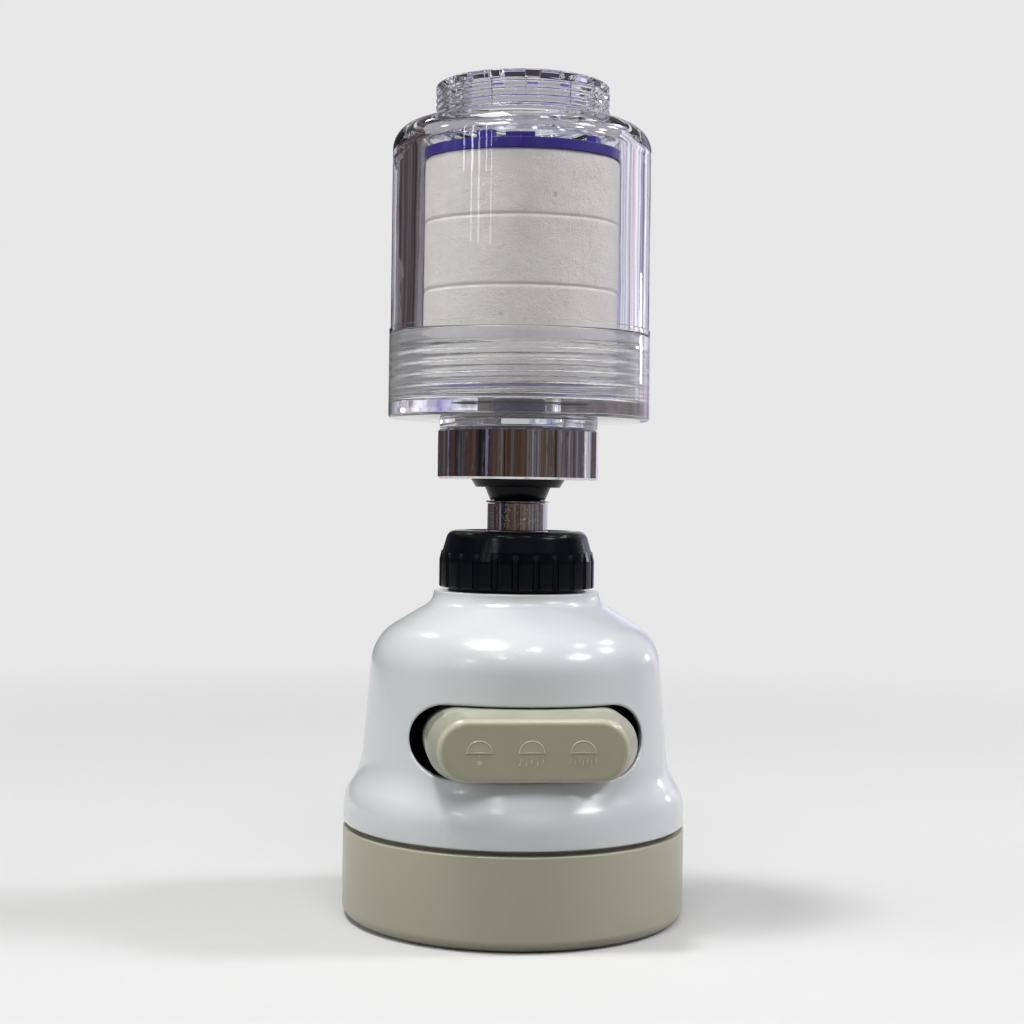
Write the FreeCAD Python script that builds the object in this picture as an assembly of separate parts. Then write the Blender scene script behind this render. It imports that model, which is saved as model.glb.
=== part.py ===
import FreeCAD, Part
import math
import os

from FreeCAD import Vector

os.makedirs("parts", exist_ok=True)

# Faucet water filter: a clear canister with a cotton cartridge on a fluted nut,
# a short stem with a ball at each end, and a spray head that stands on its base.
# Millimetres, +Z up, the spray face stands on Z = 0 and the selector faces -Y.

# Clearances shared by mating pieces
running_fit = 0.05
loose_fit = 0.2
thread_fit = 0.1
turning_gap = 0.1

# Roundings of moulded edges and of rubber rings
small_edge = 0.2
soft_edge = 0.3
seal_roundness = 0.9

# Base ring of the spray head
base_radius = 28.0
base_height = 14.5
base_edge_rounding = 2.0
base_wall = 2.0
foot_width = 3.6
seat_flange_thickness = 1.6
seat_flange_width = 1.6
spigot_height = 4.7
spigot_wall = 1.6
snap_bead_radius = 0.35

# Spray face
plate_recess = 0.7
plate_thickness = 2.0
mat_thickness = 1.2
nozzle_ring_shares = (0.48, 0.645, 0.81)
nozzle_ring_counts = (8, 12, 16)
nozzle_root_radius = 0.9
nozzle_tip_radius = 0.6
nozzle_bore_radius = 0.35
nozzle_tip_height = 0.3

# Central jet
jet_bore_radius = 4.2
jet_wall = 1.6
jet_flange_width = 1.4
jet_recess = 0.4
screen_radius = 4.7
screen_thickness = 0.3
screen_height = 1.6
jet_vane_count = 3
jet_vane_thickness = 0.8

# Distributor under the selector
distributor_skirt = 2.5
distributor_thickness = 2.0
distributor_rim_wall = 2.0
chamber_radius = 7.5
chamber_wall = 1.4
port_web = 0.5
port_inset = 3.72
port_angle = 5.0
duct_width = 3.0
port_seal_radius = 4.0
port_seal_thickness = 1.0

# Centre screw
screw_radius = 1.25
screw_length = 11.0
screw_head_radius = 2.8
screw_head_height = 1.6
screw_head_rounding = 0.6
screw_cross_length = 3.5
screw_cross_width = 0.7
screw_cross_depth = 0.8

# Shell of the spray head
shell_wall = 2.0
shell_lip = 2.2
seam_gap = 0.8
bulge_inset = 0.05
bulge_height = 4.4
flare_height = 4.5
wall_height = 21.1
shoulder_height = 6.0
neck_height = 1.6
flare_overhang = 2.8
wall_taper = 1.68
shell_neck_radius = 13.6
bulge_rounding = 7.0
flare_rounding = 8.0
shoulder_rounding = 8.4
neck_rounding = 2.4
shell_bore_length = 6.7
slot_half_angle = 46.42
slot_half_height = 5.6
slot_height = 30.8
slot_edge_rounding = 0.5
slot_shortest_edge = 1.0

# Selector: cup round the core and the flat-faced pad that a thumb pushes
selector_travel = 5.0
cup_side_gap = 0.4
cup_wall = 1.5
cup_floor_thickness = 2.0
cup_height = 27.0
cup_port_radius = 1.35
pad_end_gap = 2.12
pad_side_gap = 0.25
pad_rim_inset = 0.75
pad_proud = 2.15
pad_end_taper = 1.65
pad_top_taper = 1.3
pad_edge_rounding = 0.8
pad_lug_length = 2.0
pad_lug_width = 6.0
pad_lug_height = 4.0
pad_lug_angle = 22.0

# Core inside the shell
core_flange_thickness = 2.5
core_side_gap = 0.35
core_rounding = 1.5
core_post_radius = 3.0
core_screw_boss_radius = 3.6
core_screw_boss_height = 6.3
core_screw_boss_roof = 1.0
bell_height = 7.8
bell_wall = 1.8
bell_cone_height = 10.0
core_tube_radius = 8.0
core_bore_radius = 5.0
core_shoulder_side_gap = 1.1
core_shoulder_thickness = 2.0
core_thread_radius = 11.2
core_thread_length = 4.1
socket_wall = 1.2
core_port_radius = 1.8
core_rib_count = 4
core_rib_thickness = 1.6
core_rib_setback = 1.0

# Lower ball joint
ball_radius = 8.0
ball_drop = 0.5
seat_top_drop = 1.5
seat_height = 4.5
ball_seal_thickness = 1.5
ball_seal_width = 2.4
liner_rise = 0.8
liner_throat_radius = 7.2
liner_mouth_radius = 7.65
liner_mouth_height = 1.1
liner_radius = 10.2

# Collar nut over the lower ball
collar_radius = 12.78
collar_height = 9.3
collar_gap = 0.6
collar_band_height = 4.4
collar_band_top_radius = 12.45
collar_band_rounding = 1.0
collar_step_height = 5.95
collar_step_radius = 12.25
collar_top_radius = 11.3
collar_top_rounding = 1.6
collar_roof = 1.5
collar_throat_radius = 7.9
collar_mouth_radius = 8.8
collar_flute_count = 24
collar_flute_radius = 0.62
collar_flute_depth = 0.5
collar_flute_height = 5.1

# Stem and the black upper ball
stem_radius = 4.95
stem_bore_radius = 3.0
stem_reach = 11.2
stem_lip_radius = 5.2
stem_lip_height = 0.4
stem_lip_rounding = 0.12
stem_socket_radius = 3.9
stem_socket_depth = 6.0
upper_ball_radius = 6.6
upper_ball_reach = 6.9
upper_ball_flat = 1.0
upper_ball_bore_radius = 2.6
upper_neck_height = 2.2
upper_neck_low_radius = 4.55
upper_neck_high_radius = 5.4

# Upper ball seat
upper_seat_flange_width = 1.08
upper_seat_flange_slope = 0.73
upper_seat_flange_height = 1.2
upper_seat_mouth_inset = 0.2
upper_seat_throat_inset = 0.4
upper_seat_side_gap = 1.25

# Chromed nut
nut_radius = 13.27
nut_height = 8.2
nut_floor = 1.5
nut_wall = 2.22
nut_flute_count = 16
nut_flute_depth = 0.55
nut_flute_radius = 7.7
nut_chamfer = 0.35
nut_gasket_thickness = 0.8
nut_gasket_overlap = 0.2

# End cap with its threaded outlet boss
cap_radius = 21.48
cap_height = 13.6
cap_floor = 2.6
cap_wall = 1.83
cap_edge_rounding = 0.6
boss_length = 3.75
boss_wall = 3.55
boss_bore_depth = 0.8
boss_flange_inset = 0.27
boss_flange_height = 1.5
outlet_radius = 4.6
seal_pocket_depth = 1.9
seal_pocket_wall = 0.58

# Canister
canister_inset = 0.2
canister_wall = 3.7
canister_draft = 0.3
canister_flange_height = 1.0
canister_height = 40.8
skirt_floor_gap = 1.1
seal_groove_depth = 0.6
shoulder_drop = 1.4
canister_shoulder_rounding = 4.0
canister_roof = 2.9
canister_roof_rounding = 2.0
neck_radius = 14.28
neck_wall = 2.68
neck_length = 5.9
neck_edge_rounding = 0.25
notch_count = 14
notch_depth = 1.2
notch_top_width = 2.5
notch_bottom_width = 1.7
notch_lip = 0.55
notch_overrun = 1.0

# Cartridge
outlet_gasket_width = 2.7
outlet_gasket_thickness = 0.8
cartridge_side_gap = 1.08
cartridge_cap_overhang = 0.2
cartridge_cap_thickness = 1.6
cartridge_bore_radius = 6.0
cartridge_plug_depth = 2.5
cartridge_plug_wall = 1.2
nipple_length = 2.1
nipple_bore_radius = 3.2
sleeve_length = 36.6
sleeve_grooves = (15.4, 26.3)
sleeve_groove_depth = 0.35
sleeve_groove_radius = 0.9
lug_count = 4
lug_ring_radius = 12.5
lug_width = 2.6
lug_thickness = 1.4
lug_height = 2.1
lug_root = 0.5
lug_first_angle = -32.4
rim_bump_width = 4.3
rim_bump_height = 0.7
rim_bump_first_angle = -7.8

# Places that several pieces share, worked out from the sizes above
plate_top = plate_recess + plate_thickness
mat_top = plate_top + mat_thickness
distributor_bottom = mat_top + seat_flange_thickness
distributor_underside = distributor_bottom + distributor_skirt
distributor_top = distributor_underside + distributor_thickness
cup_bottom = distributor_top + turning_gap
cup_floor_top = cup_bottom + cup_floor_thickness
core_bottom = cup_floor_top + turning_gap

bulge_radius = base_radius - bulge_inset
spigot_pocket_radius = bulge_radius - shell_lip
spigot_radius = spigot_pocket_radius - loose_fit
spigot_bore_radius = spigot_radius - spigot_wall
spigot_top = base_height + spigot_height
distributor_radius = spigot_bore_radius - loose_fit
seat_flange_bore_radius = distributor_radius - seat_flange_width
foot_bore_radius = base_radius - foot_width
plate_radius = foot_bore_radius - loose_fit

wall_low_radius = bulge_radius - flare_overhang
wall_high_radius = wall_low_radius - wall_taper
inner_wall_radius = wall_high_radius - shell_wall
slot_half_length = wall_low_radius * math.sin(math.radians(slot_half_angle))

shell_bottom = base_height + seam_gap
bulge_top = shell_bottom + bulge_height
flare_top = bulge_top + flare_height
wall_top = flare_top + wall_height
shoulder_top = wall_top + shoulder_height
shell_top = shoulder_top + neck_height
shell_bore_radius = core_thread_radius + loose_fit
core_shoulder_top = shell_top - shell_bore_length
shoulder_slope = math.atan2(shoulder_height, wall_high_radius - shell_neck_radius)
inner_shoulder_top = shoulder_top - shell_wall / math.cos(shoulder_slope)
inner_wall_top = inner_shoulder_top - math.tan(shoulder_slope) * (inner_wall_radius - shell_neck_radius)
ledge_radius = shell_neck_radius + (inner_shoulder_top - core_shoulder_top) / math.tan(shoulder_slope)
core_shoulder_radius = ledge_radius - core_shoulder_side_gap

cup_radius = inner_wall_radius - cup_side_gap
cup_bore_radius = cup_radius - cup_wall
core_flange_radius = cup_bore_radius - core_side_gap
port_ring_radius = core_flange_radius - port_inset
port_radius = port_ring_radius * math.sin(math.radians(port_angle)) - port_web / 2
pad_rim_depth = wall_low_radius - pad_rim_inset
pad_face_depth = wall_low_radius + pad_proud

core_top = shell_top + core_thread_length
ball_height = core_top - ball_drop
socket_radius = core_thread_radius - socket_wall
seat_bottom = ball_height - seat_top_drop - seat_height
socket_floor = seat_bottom - ball_seal_thickness
collar_bottom = shell_top + collar_gap
collar_top = collar_bottom + collar_height

stem_top = ball_height + stem_reach
upper_ball_height = stem_top + upper_ball_reach
upper_seat_flange_radius = upper_ball_radius + upper_seat_flange_width
upper_seat_throat_radius = upper_ball_radius - upper_seat_throat_inset
nut_bottom = stem_top + upper_neck_height + upper_seat_flange_height + running_fit
nut_top = nut_bottom + nut_height
boss_radius = nut_radius - nut_wall - thread_fit
boss_bore_radius = boss_radius - boss_wall
boss_flange_radius = nut_radius - boss_flange_inset
cap_bottom = nut_top + turning_gap + boss_flange_height
cap_floor_top = cap_bottom + cap_floor
cap_top = cap_bottom + cap_height
cap_bore_radius = cap_radius - cap_wall
boss_end = nut_top + turning_gap - boss_length
seal_pocket_floor = cap_top - seal_pocket_depth
seal_pocket_radius = cap_radius - seal_pocket_wall

skirt_radius = cap_bore_radius - thread_fit
skirt_bottom = cap_floor_top + skirt_floor_gap
flange_bottom = cap_top + turning_gap
canister_radius = cap_radius - canister_inset
canister_bore_radius = canister_radius - canister_wall
neck_bore_radius = neck_radius - neck_wall
canister_top = flange_bottom + canister_height
neck_base = canister_top - neck_length

cartridge_bottom = cap_floor_top + outlet_gasket_thickness
sleeve_bottom = cartridge_bottom + cartridge_cap_thickness
sleeve_top = sleeve_bottom + sleeve_length
cartridge_cap_radius = canister_bore_radius - canister_draft - cartridge_side_gap
cartridge_radius = cartridge_cap_radius - cartridge_cap_overhang


def turned(*corners):
    """Solid turned about the Z axis from corners (radius, height) or (radius, height, rounding)."""
    points = [Vector(corner[0], 0, corner[1]) for corner in corners]
    ends = []
    arcs = []
    for index, corner in enumerate(corners):
        point = points[index]
        rounding = corner[2] if len(corner) > 2 else 0.0
        if rounding == 0.0:
            ends.append((point, point))
            arcs.append(None)
            continue
        to_last = (points[index - 1] - point).normalize()
        to_next = (points[(index + 1) % len(points)] - point).normalize()
        half_angle = to_last.getAngle(to_next) / 2
        setback = rounding / math.tan(half_angle)
        middle = (to_last + to_next).normalize() * (rounding / math.sin(half_angle) - rounding)
        ends.append((point + to_last * setback, point + to_next * setback))
        arcs.append(point + middle)
    edges = []
    for index, (start, finish) in enumerate(ends):
        before = ends[index - 1][1]
        if before.distanceToPoint(start) > 1e-6:
            edges.append(Part.makeLine(before, start))
        if arcs[index] is not None:
            edges.append(Part.Arc(start, arcs[index], finish).toShape())
    face = Part.Face(Part.Wire(Part.__sortEdges__(edges)))
    return face.revolve(Vector(), Vector(0, 0, 1), 360)


def polar(radius, degrees, height=0.0):
    """Point at a bearing counted from the front (-Y) towards +X."""
    angle = math.radians(degrees)
    return Vector(radius * math.sin(angle), -radius * math.cos(angle), height)


def post(radius, low, high, place=Vector()):
    """Upright cylinder between two heights."""
    return Part.makeCylinder(radius, high - low, Vector(place.x, place.y, low))


def block(width, depth, low, high, centre_y=0.0):
    """Upright box, centred on X = 0 and on centre_y."""
    return Part.makeBox(width, depth, high - low, Vector(-width / 2, centre_y - depth / 2, low))


def spun(shape, degrees):
    """Copy of a shape turned about the Z axis."""
    copy = shape.copy()
    copy.rotate(Vector(), Vector(0, 0, 1), degrees)
    return copy


def around(shape, count, first=0.0):
    """List of copies spread evenly about the Z axis."""
    return [spun(shape, first + 360.0 * index / count) for index in range(count)]


def stadium(half_length, half_height, depth, middle=slot_height):
    """Round-ended outline in the XZ plane, centred on a middle height, depth in front of the axis."""
    reach = half_length - half_height
    top = middle + half_height
    bottom = middle - half_height
    ends = [
        Part.Arc(Vector(side * reach, -depth, top), Vector(side * half_length, -depth, middle),
                 Vector(side * reach, -depth, bottom)).toShape()
        for side in (-1, 1)
    ]
    sides = [
        Part.makeLine(Vector(-reach, -depth, level), Vector(reach, -depth, level))
        for level in (bottom, top)
    ]
    return Part.Wire(Part.__sortEdges__(ends + sides))


def bar(half_length, half_height, depth):
    """Round-ended bar at the slot's height, from the axis to a depth in front of it."""
    return Part.Face(stadium(half_length, half_height, 0.0)).extrude(Vector(0, -depth, 0))


def save(name, shape):
    """Write one node; a boolean result that holds a single solid is written as that solid."""
    solids = shape.Solids
    piece = solids[0] if len(solids) == 1 else Part.makeCompound(solids)
    piece.exportStep("parts/" + name + ".step")


def base_ring():
    """Moulded skirt: foot, seat flange for the distributor, and a spigot with a snap bead."""
    body = turned(
        (spigot_bore_radius, spigot_top),
        (spigot_radius, spigot_top),
        (spigot_radius, base_height),
        (base_radius, base_height, soft_edge),
        (base_radius, 0.0, base_edge_rounding),
        (foot_bore_radius, 0.0, soft_edge),
        (foot_bore_radius, mat_top),
        (seat_flange_bore_radius, mat_top),
        (seat_flange_bore_radius, distributor_bottom),
        (base_radius - base_wall, distributor_bottom),
        (base_radius - base_wall, base_height - base_wall),
        (spigot_bore_radius, base_height),
    )
    bead_height = (base_height + spigot_top) / 2
    bead_radius = spigot_radius - snap_bead_radius / 2
    bead = Part.makeTorus(bead_radius, snap_bead_radius, Vector(0, 0, bead_height))
    return body.fuse(bead)


def nozzle_places():
    """Nozzle axes on the rings of the spray face, each ring turned half a step from the last."""
    places = []
    for ring, (share, count) in enumerate(zip(nozzle_ring_shares, nozzle_ring_counts)):
        step = 360.0 / count
        places += [polar(plate_radius * share, (index + 0.5 * (ring % 2)) * step) for index in range(count)]
    return places


def spray_plate():
    """Rigid face plate with a hole for each nozzle and one for the central jet."""
    disc = turned(
        (jet_bore_radius + jet_wall + loose_fit, plate_recess),
        (plate_radius, plate_recess, soft_edge),
        (plate_radius, plate_top),
        (jet_bore_radius + jet_wall + loose_fit, plate_top),
    )
    holes = [post(nozzle_root_radius + thread_fit, 0.0, mat_top, place) for place in nozzle_places()]
    return disc.cut(holes)


def nozzle_mat():
    """Silicone mat behind the plate, with soft nozzles that reach through it."""
    inner = jet_bore_radius + jet_wall + jet_flange_width + loose_fit
    mat = turned(
        (inner, plate_top), (plate_radius, plate_top), (plate_radius, mat_top), (inner, mat_top)
    )
    length = plate_top - nozzle_tip_height
    nozzles = [
        Part.makeCone(nozzle_tip_radius, nozzle_root_radius, length, place + Vector(0, 0, nozzle_tip_height))
        for place in nozzle_places()
    ]
    bores = [post(nozzle_bore_radius, 0.0, mat_top, place) for place in nozzle_places()]
    return mat.fuse(nozzles).cut(bores)


def jet_insert():
    """Flanged tube of the central jet, with vanes above the screen's step."""
    outer = jet_bore_radius + jet_wall
    flange = outer + jet_flange_width
    foot = plate_recess + jet_recess
    tube = turned(
        (screen_radius + running_fit, foot),
        (outer, foot, small_edge),
        (outer, plate_top),
        (flange, plate_top),
        (flange, mat_top),
        (jet_bore_radius, mat_top),
        (jet_bore_radius, screen_height + screen_thickness),
        (screen_radius + running_fit, screen_height + screen_thickness),
    )
    vane = block(2 * jet_bore_radius + jet_wall, jet_vane_thickness, plate_top, mat_top)
    vanes = [spun(vane, 180.0 * index / jet_vane_count) for index in range(jet_vane_count)]
    return tube.fuse(vanes)


def jet_screen():
    """Steel mesh disc under the vanes."""
    return post(screen_radius, screen_height, screen_height + screen_thickness)


def port_centres(height=0.0):
    """The two ports at the back: one feeds the rain ring, the other the central jet."""
    return [polar(port_ring_radius, 180.0 + side * port_angle, height) for side in (-1, 1)]


def distributor():
    """Plate that splits the water: rim skirt, jet chamber and the duct between port and chamber."""
    chamber_outer = chamber_radius + chamber_wall
    rim_inner = distributor_radius - distributor_rim_wall
    plate = turned((0.0, distributor_underside), (distributor_radius, distributor_underside),
                   (distributor_radius, distributor_top), (0.0, distributor_top))
    rim = turned((rim_inner, distributor_bottom), (distributor_radius, distributor_bottom),
                 (distributor_radius, distributor_top), (rim_inner, distributor_top))
    jet_wall_ring = post(chamber_outer, mat_top, distributor_top)
    duct_reach = port_ring_radius + duct_width / 2 + chamber_wall
    duct = block(duct_width + 2 * chamber_wall, duct_reach, mat_top, distributor_top, duct_reach / 2)
    duct = spun(duct, port_angle)
    body = plate.fuse([rim, jet_wall_ring, duct])
    duct_space_reach = port_ring_radius + duct_width / 2
    duct_space = block(duct_width, duct_space_reach, mat_top, distributor_underside, duct_space_reach / 2)
    cuts = [post(chamber_radius, mat_top, distributor_underside), spun(duct_space, port_angle)]
    cuts += [post(port_radius, mat_top, distributor_top, centre) for centre in port_centres()]
    cuts.append(post(screw_radius + loose_fit, mat_top, distributor_top))
    cuts.append(post(port_seal_radius + running_fit, distributor_top - port_seal_thickness,
                     distributor_top, polar(port_ring_radius, 180.0)))
    return body.cut(cuts)


def port_seal():
    """Rubber face seal round both ports, flush with the distributor's top."""
    low = distributor_top - port_seal_thickness
    disc = post(port_seal_radius, low, distributor_top, polar(port_ring_radius, 180.0))
    return disc.cut([post(port_radius, low, distributor_top, centre) for centre in port_centres()])


def centre_screw():
    """Pan-head screw that clamps the distributor to the core's post."""
    head_low = distributor_underside - screw_head_height
    tip = head_low + screw_length
    body = turned((0.0, head_low), (screw_head_radius, head_low, screw_head_rounding),
                  (screw_head_radius, distributor_underside),
                  (screw_radius, distributor_underside), (screw_radius, tip), (0.0, tip))
    recess = block(screw_cross_length, screw_cross_width, head_low, head_low + screw_cross_depth)
    return body.cut([recess, spun(recess, 90.0)])


def core_body():
    """Inlet tube with a bell over the ports, a shoulder under the shell and the socket of the ball."""
    bell_top = core_bottom + bell_height
    cone_top = bell_top + bell_cone_height
    cavity_floor = core_bottom + core_flange_thickness
    bell_radius = core_flange_radius
    shoulder_low = core_shoulder_top - core_shoulder_thickness
    body = turned(
        (0.0, distributor_top),
        (core_post_radius, distributor_top),
        (core_post_radius, core_bottom),
        (bell_radius, core_bottom),
        (bell_radius, bell_top, core_rounding),
        (core_tube_radius, cone_top, core_rounding),
        (core_tube_radius, shoulder_low, core_rounding),
        (core_shoulder_radius, shoulder_low),
        (core_shoulder_radius, core_shoulder_top),
        (core_thread_radius, core_shoulder_top),
        (core_thread_radius, core_top, soft_edge),
        (socket_radius, core_top),
        (socket_radius, socket_floor),
        (core_bore_radius, socket_floor),
        (core_bore_radius, cone_top),
        (bell_radius - bell_wall, bell_top),
        (bell_radius - bell_wall, cavity_floor),
        (core_screw_boss_radius, cavity_floor),
        (core_screw_boss_radius, cavity_floor + core_screw_boss_height),
        (0.0, cavity_floor + core_screw_boss_height),
    )
    rib_reach = core_shoulder_radius - core_rib_setback
    rib = block(2 * rib_reach, core_rib_thickness, cone_top, shoulder_low)
    taper = turned((0.0, cone_top), (core_tube_radius, cone_top),
                   (rib_reach, shoulder_low), (0.0, shoulder_low))
    ribs = [spun(rib, 360.0 * index / core_rib_count) for index in range(core_rib_count // 2)]
    ribs = [piece.common(taper).cut(post(core_bore_radius, cone_top, shoulder_low)) for piece in ribs]
    port = post(core_port_radius, core_bottom, cavity_floor, polar(port_ring_radius, 180.0))
    ports = [spun(port, side * selector_travel) for side in (-1, 0, 1)]
    screw_hole_top = cavity_floor + core_screw_boss_height - core_screw_boss_roof
    screw_hole = post(screw_radius + running_fit, distributor_top, screw_hole_top)
    return body.fuse(ribs).cut(ports + [screw_hole])


def ring_seal(inner, outer, low, high):
    """Rubber ring of round section squeezed to the room it has."""
    radius = (outer - inner) / 2
    half_height = (high - low) / 2
    rounding = min(radius, half_height) * seal_roundness
    return turned((inner, low, rounding), (outer, low, rounding),
                  (outer, high, rounding), (inner, high, rounding))


def ball_seal():
    """O-ring that presses the lower seat against the ball."""
    outer = socket_radius - loose_fit
    return ring_seal(outer - ball_seal_width, outer, socket_floor, seat_bottom - turning_gap)


def lower_ball_seat():
    """Slippery ring that cups the lower half of the ball and turns with it."""
    seat_top = ball_height - seat_top_drop
    ring = turned((core_bore_radius, seat_bottom), (socket_radius - thread_fit, seat_bottom),
                  (socket_radius - thread_fit, seat_top), (core_bore_radius, seat_top))
    return ring.cut(Part.makeSphere(ball_radius + running_fit, Vector(0, 0, ball_height)))


def shell():
    """Bell-shaped cover with the selector's slot and a ledge for the core's shoulder."""
    body = turned(
        (shell_bore_radius, shell_top),
        (shell_neck_radius, shell_top, small_edge),
        (shell_neck_radius, shoulder_top, neck_rounding),
        (wall_high_radius, wall_top, shoulder_rounding),
        (wall_low_radius, flare_top, flare_rounding),
        (bulge_radius, bulge_top, bulge_rounding),
        (bulge_radius, shell_bottom, soft_edge),
        (spigot_pocket_radius, shell_bottom),
        (spigot_pocket_radius, spigot_top),
        (spigot_bore_radius, spigot_top),
        (wall_low_radius - shell_wall, flare_top, flare_rounding),
        (inner_wall_radius, inner_wall_top, shoulder_rounding - shell_wall),
        (ledge_radius, core_shoulder_top),
        (shell_bore_radius, core_shoulder_top),
    )
    bead_height = (base_height + spigot_top) / 2
    groove_radius = spigot_pocket_radius - snap_bead_radius / 2
    groove = Part.makeTorus(groove_radius, snap_bead_radius, Vector(0, 0, bead_height))
    opening = bar(slot_half_length, slot_half_height, base_radius)
    cut = body.cut([groove, opening])
    return rounded_slot(cut)


def rounded_slot(body):
    """Round the outer edge of the slot."""
    rim = [edge for edge in body.Edges if on_slot_rim(edge)]
    return body.makeFillet(slot_edge_rounding, rim)


def on_slot_rim(edge):
    """True for an edge where the slot's wall meets the outside of the shell."""
    middle = edge.valueAt((edge.FirstParameter + edge.LastParameter) / 2)
    outside = math.hypot(middle.x, middle.y) > wall_high_radius - shell_wall / 2
    within_height = abs(middle.z - slot_height) < slot_half_height + 0.01
    within_length = abs(middle.x) < slot_half_length + 0.01
    return outside and within_height and within_length and middle.y < 0 and edge.Length > slot_shortest_edge


def pad_lugs(clearance):
    """The two lugs by which the cup carries the pad."""
    low = slot_height - pad_lug_height / 2 - clearance
    high = slot_height + pad_lug_height / 2 + clearance
    depth = pad_lug_length + cup_wall / 2 + clearance
    centre = -(cup_radius - cup_wall / 2) - depth / 2
    lug = block(pad_lug_width + 2 * clearance, depth, low, high, centre)
    return [spun(lug, side * pad_lug_angle) for side in (-1, 1)]


def selector_pad():
    """Thumb pad that fills the slot: a bar with sockets for the cup's lugs and a head whose ends and top
    slope from the rim to the flat face, while its underside stays straight."""
    half_length = slot_half_length - pad_end_gap
    half_height = slot_half_height - pad_side_gap
    rim = stadium(half_length, half_height, pad_rim_depth)
    face = stadium(half_length - pad_end_taper, half_height - pad_top_taper / 2, pad_face_depth,
                   slot_height - pad_top_taper / 2)
    head = Part.makeLoft([rim, face], True, True)
    edges = [edge for edge in head.Edges if all(abs(v.Y + pad_face_depth) < 0.01 for v in edge.Vertexes)]
    head = head.makeFillet(pad_edge_rounding, edges)
    root = bar(half_length, half_height, pad_rim_depth)
    behind = post(cup_radius + turning_gap, slot_height - slot_half_height, slot_height + slot_half_height)
    return root.fuse(head).cut([behind] + pad_lugs(running_fit))


def selector_cup():
    """Cup that turns round the core: ported floor, thin sleeve and two lugs for the pad."""
    top = cup_bottom + cup_height
    body = turned(
        (core_post_radius + loose_fit, cup_bottom),
        (cup_radius, cup_bottom, soft_edge),
        (cup_radius, top, soft_edge),
        (cup_bore_radius, top),
        (cup_bore_radius, cup_floor_top),
        (core_post_radius + loose_fit, cup_floor_top),
    )
    port = post(cup_port_radius, cup_bottom, cup_floor_top, polar(port_ring_radius, 180.0))
    return body.fuse(pad_lugs(0.0)).cut(port)


def collar():
    """Ribbed black nut that holds the ball down through its liner."""
    band_top = collar_bottom + collar_band_height
    step = collar_bottom + collar_step_height
    liner_bottom = ball_height + liner_rise
    roof = collar_top - collar_roof
    body = turned(
        (core_thread_radius + thread_fit, collar_bottom),
        (collar_radius, collar_bottom, small_edge),
        (collar_radius, band_top, collar_band_rounding),
        (collar_band_top_radius, step),
        (collar_step_radius, step),
        (collar_top_radius, collar_top, collar_top_rounding),
        (collar_mouth_radius, collar_top),
        (collar_throat_radius, roof),
        (liner_radius + thread_fit, roof),
        (liner_radius + thread_fit, liner_bottom),
        (core_thread_radius + thread_fit, liner_bottom),
    )
    reach = collar_radius - collar_flute_depth + collar_flute_radius
    flute_top = collar_bottom + collar_flute_height
    cutter = post(collar_flute_radius, collar_bottom, flute_top, Vector(reach, 0, 0))
    tip = Part.makeSphere(collar_flute_radius, Vector(reach, 0, flute_top))
    first = 180.0 / collar_flute_count
    flutes = [piece for shape in (cutter, tip) for piece in around(shape, collar_flute_count, first)]
    return body.cut(flutes)


def collar_liner():
    """Slippery ring snapped under the collar's roof, spherical inside."""
    low = ball_height + liner_rise
    roof = collar_top - collar_roof - running_fit
    mouth = roof - liner_mouth_height
    ring = turned((liner_throat_radius, low), (liner_radius, low), (liner_radius, roof),
                  (liner_mouth_radius, roof), (liner_throat_radius, mouth))
    return ring.cut(Part.makeSphere(ball_radius + running_fit, Vector(0, 0, ball_height)))


def ball_stem():
    """Chromed tube turned in one piece with the lower ball."""
    ball = Part.makeSphere(ball_radius, Vector(0, 0, ball_height))
    tube = turned((0.0, ball_height), (stem_radius, ball_height), (stem_radius, stem_top - stem_lip_height),
                  (stem_lip_radius, stem_top - stem_lip_height, stem_lip_rounding),
                  (stem_lip_radius, stem_top, stem_lip_rounding), (0.0, stem_top))
    bore = post(stem_bore_radius, ball_height - ball_radius, stem_top)
    socket = post(stem_socket_radius, stem_top - stem_socket_depth, stem_top)
    return ball.fuse(tube).cut([bore, socket])


def upper_ball():
    """Black ball with a tapered neck and a spigot that sits in the stem."""
    ball = Part.makeSphere(upper_ball_radius, Vector(0, 0, upper_ball_height))
    neck_low = stem_top + running_fit
    neck_high = stem_top + upper_neck_height
    spigot_low = stem_top - stem_socket_depth + running_fit
    neck = turned(
        (0.0, spigot_low),
        (stem_socket_radius - running_fit, spigot_low, small_edge),
        (stem_socket_radius - running_fit, neck_low),
        (upper_neck_low_radius, neck_low, small_edge),
        (upper_neck_high_radius, neck_high),
        (upper_neck_high_radius, upper_ball_height),
        (0.0, upper_ball_height),
    )
    bore = post(upper_ball_bore_radius, spigot_low, upper_ball_height + upper_ball_radius)
    flat_low = upper_ball_height + upper_ball_radius - upper_ball_flat
    flat = post(upper_ball_radius, flat_low, flat_low + upper_ball_radius)
    return ball.fuse(neck).cut([bore, flat])


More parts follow.
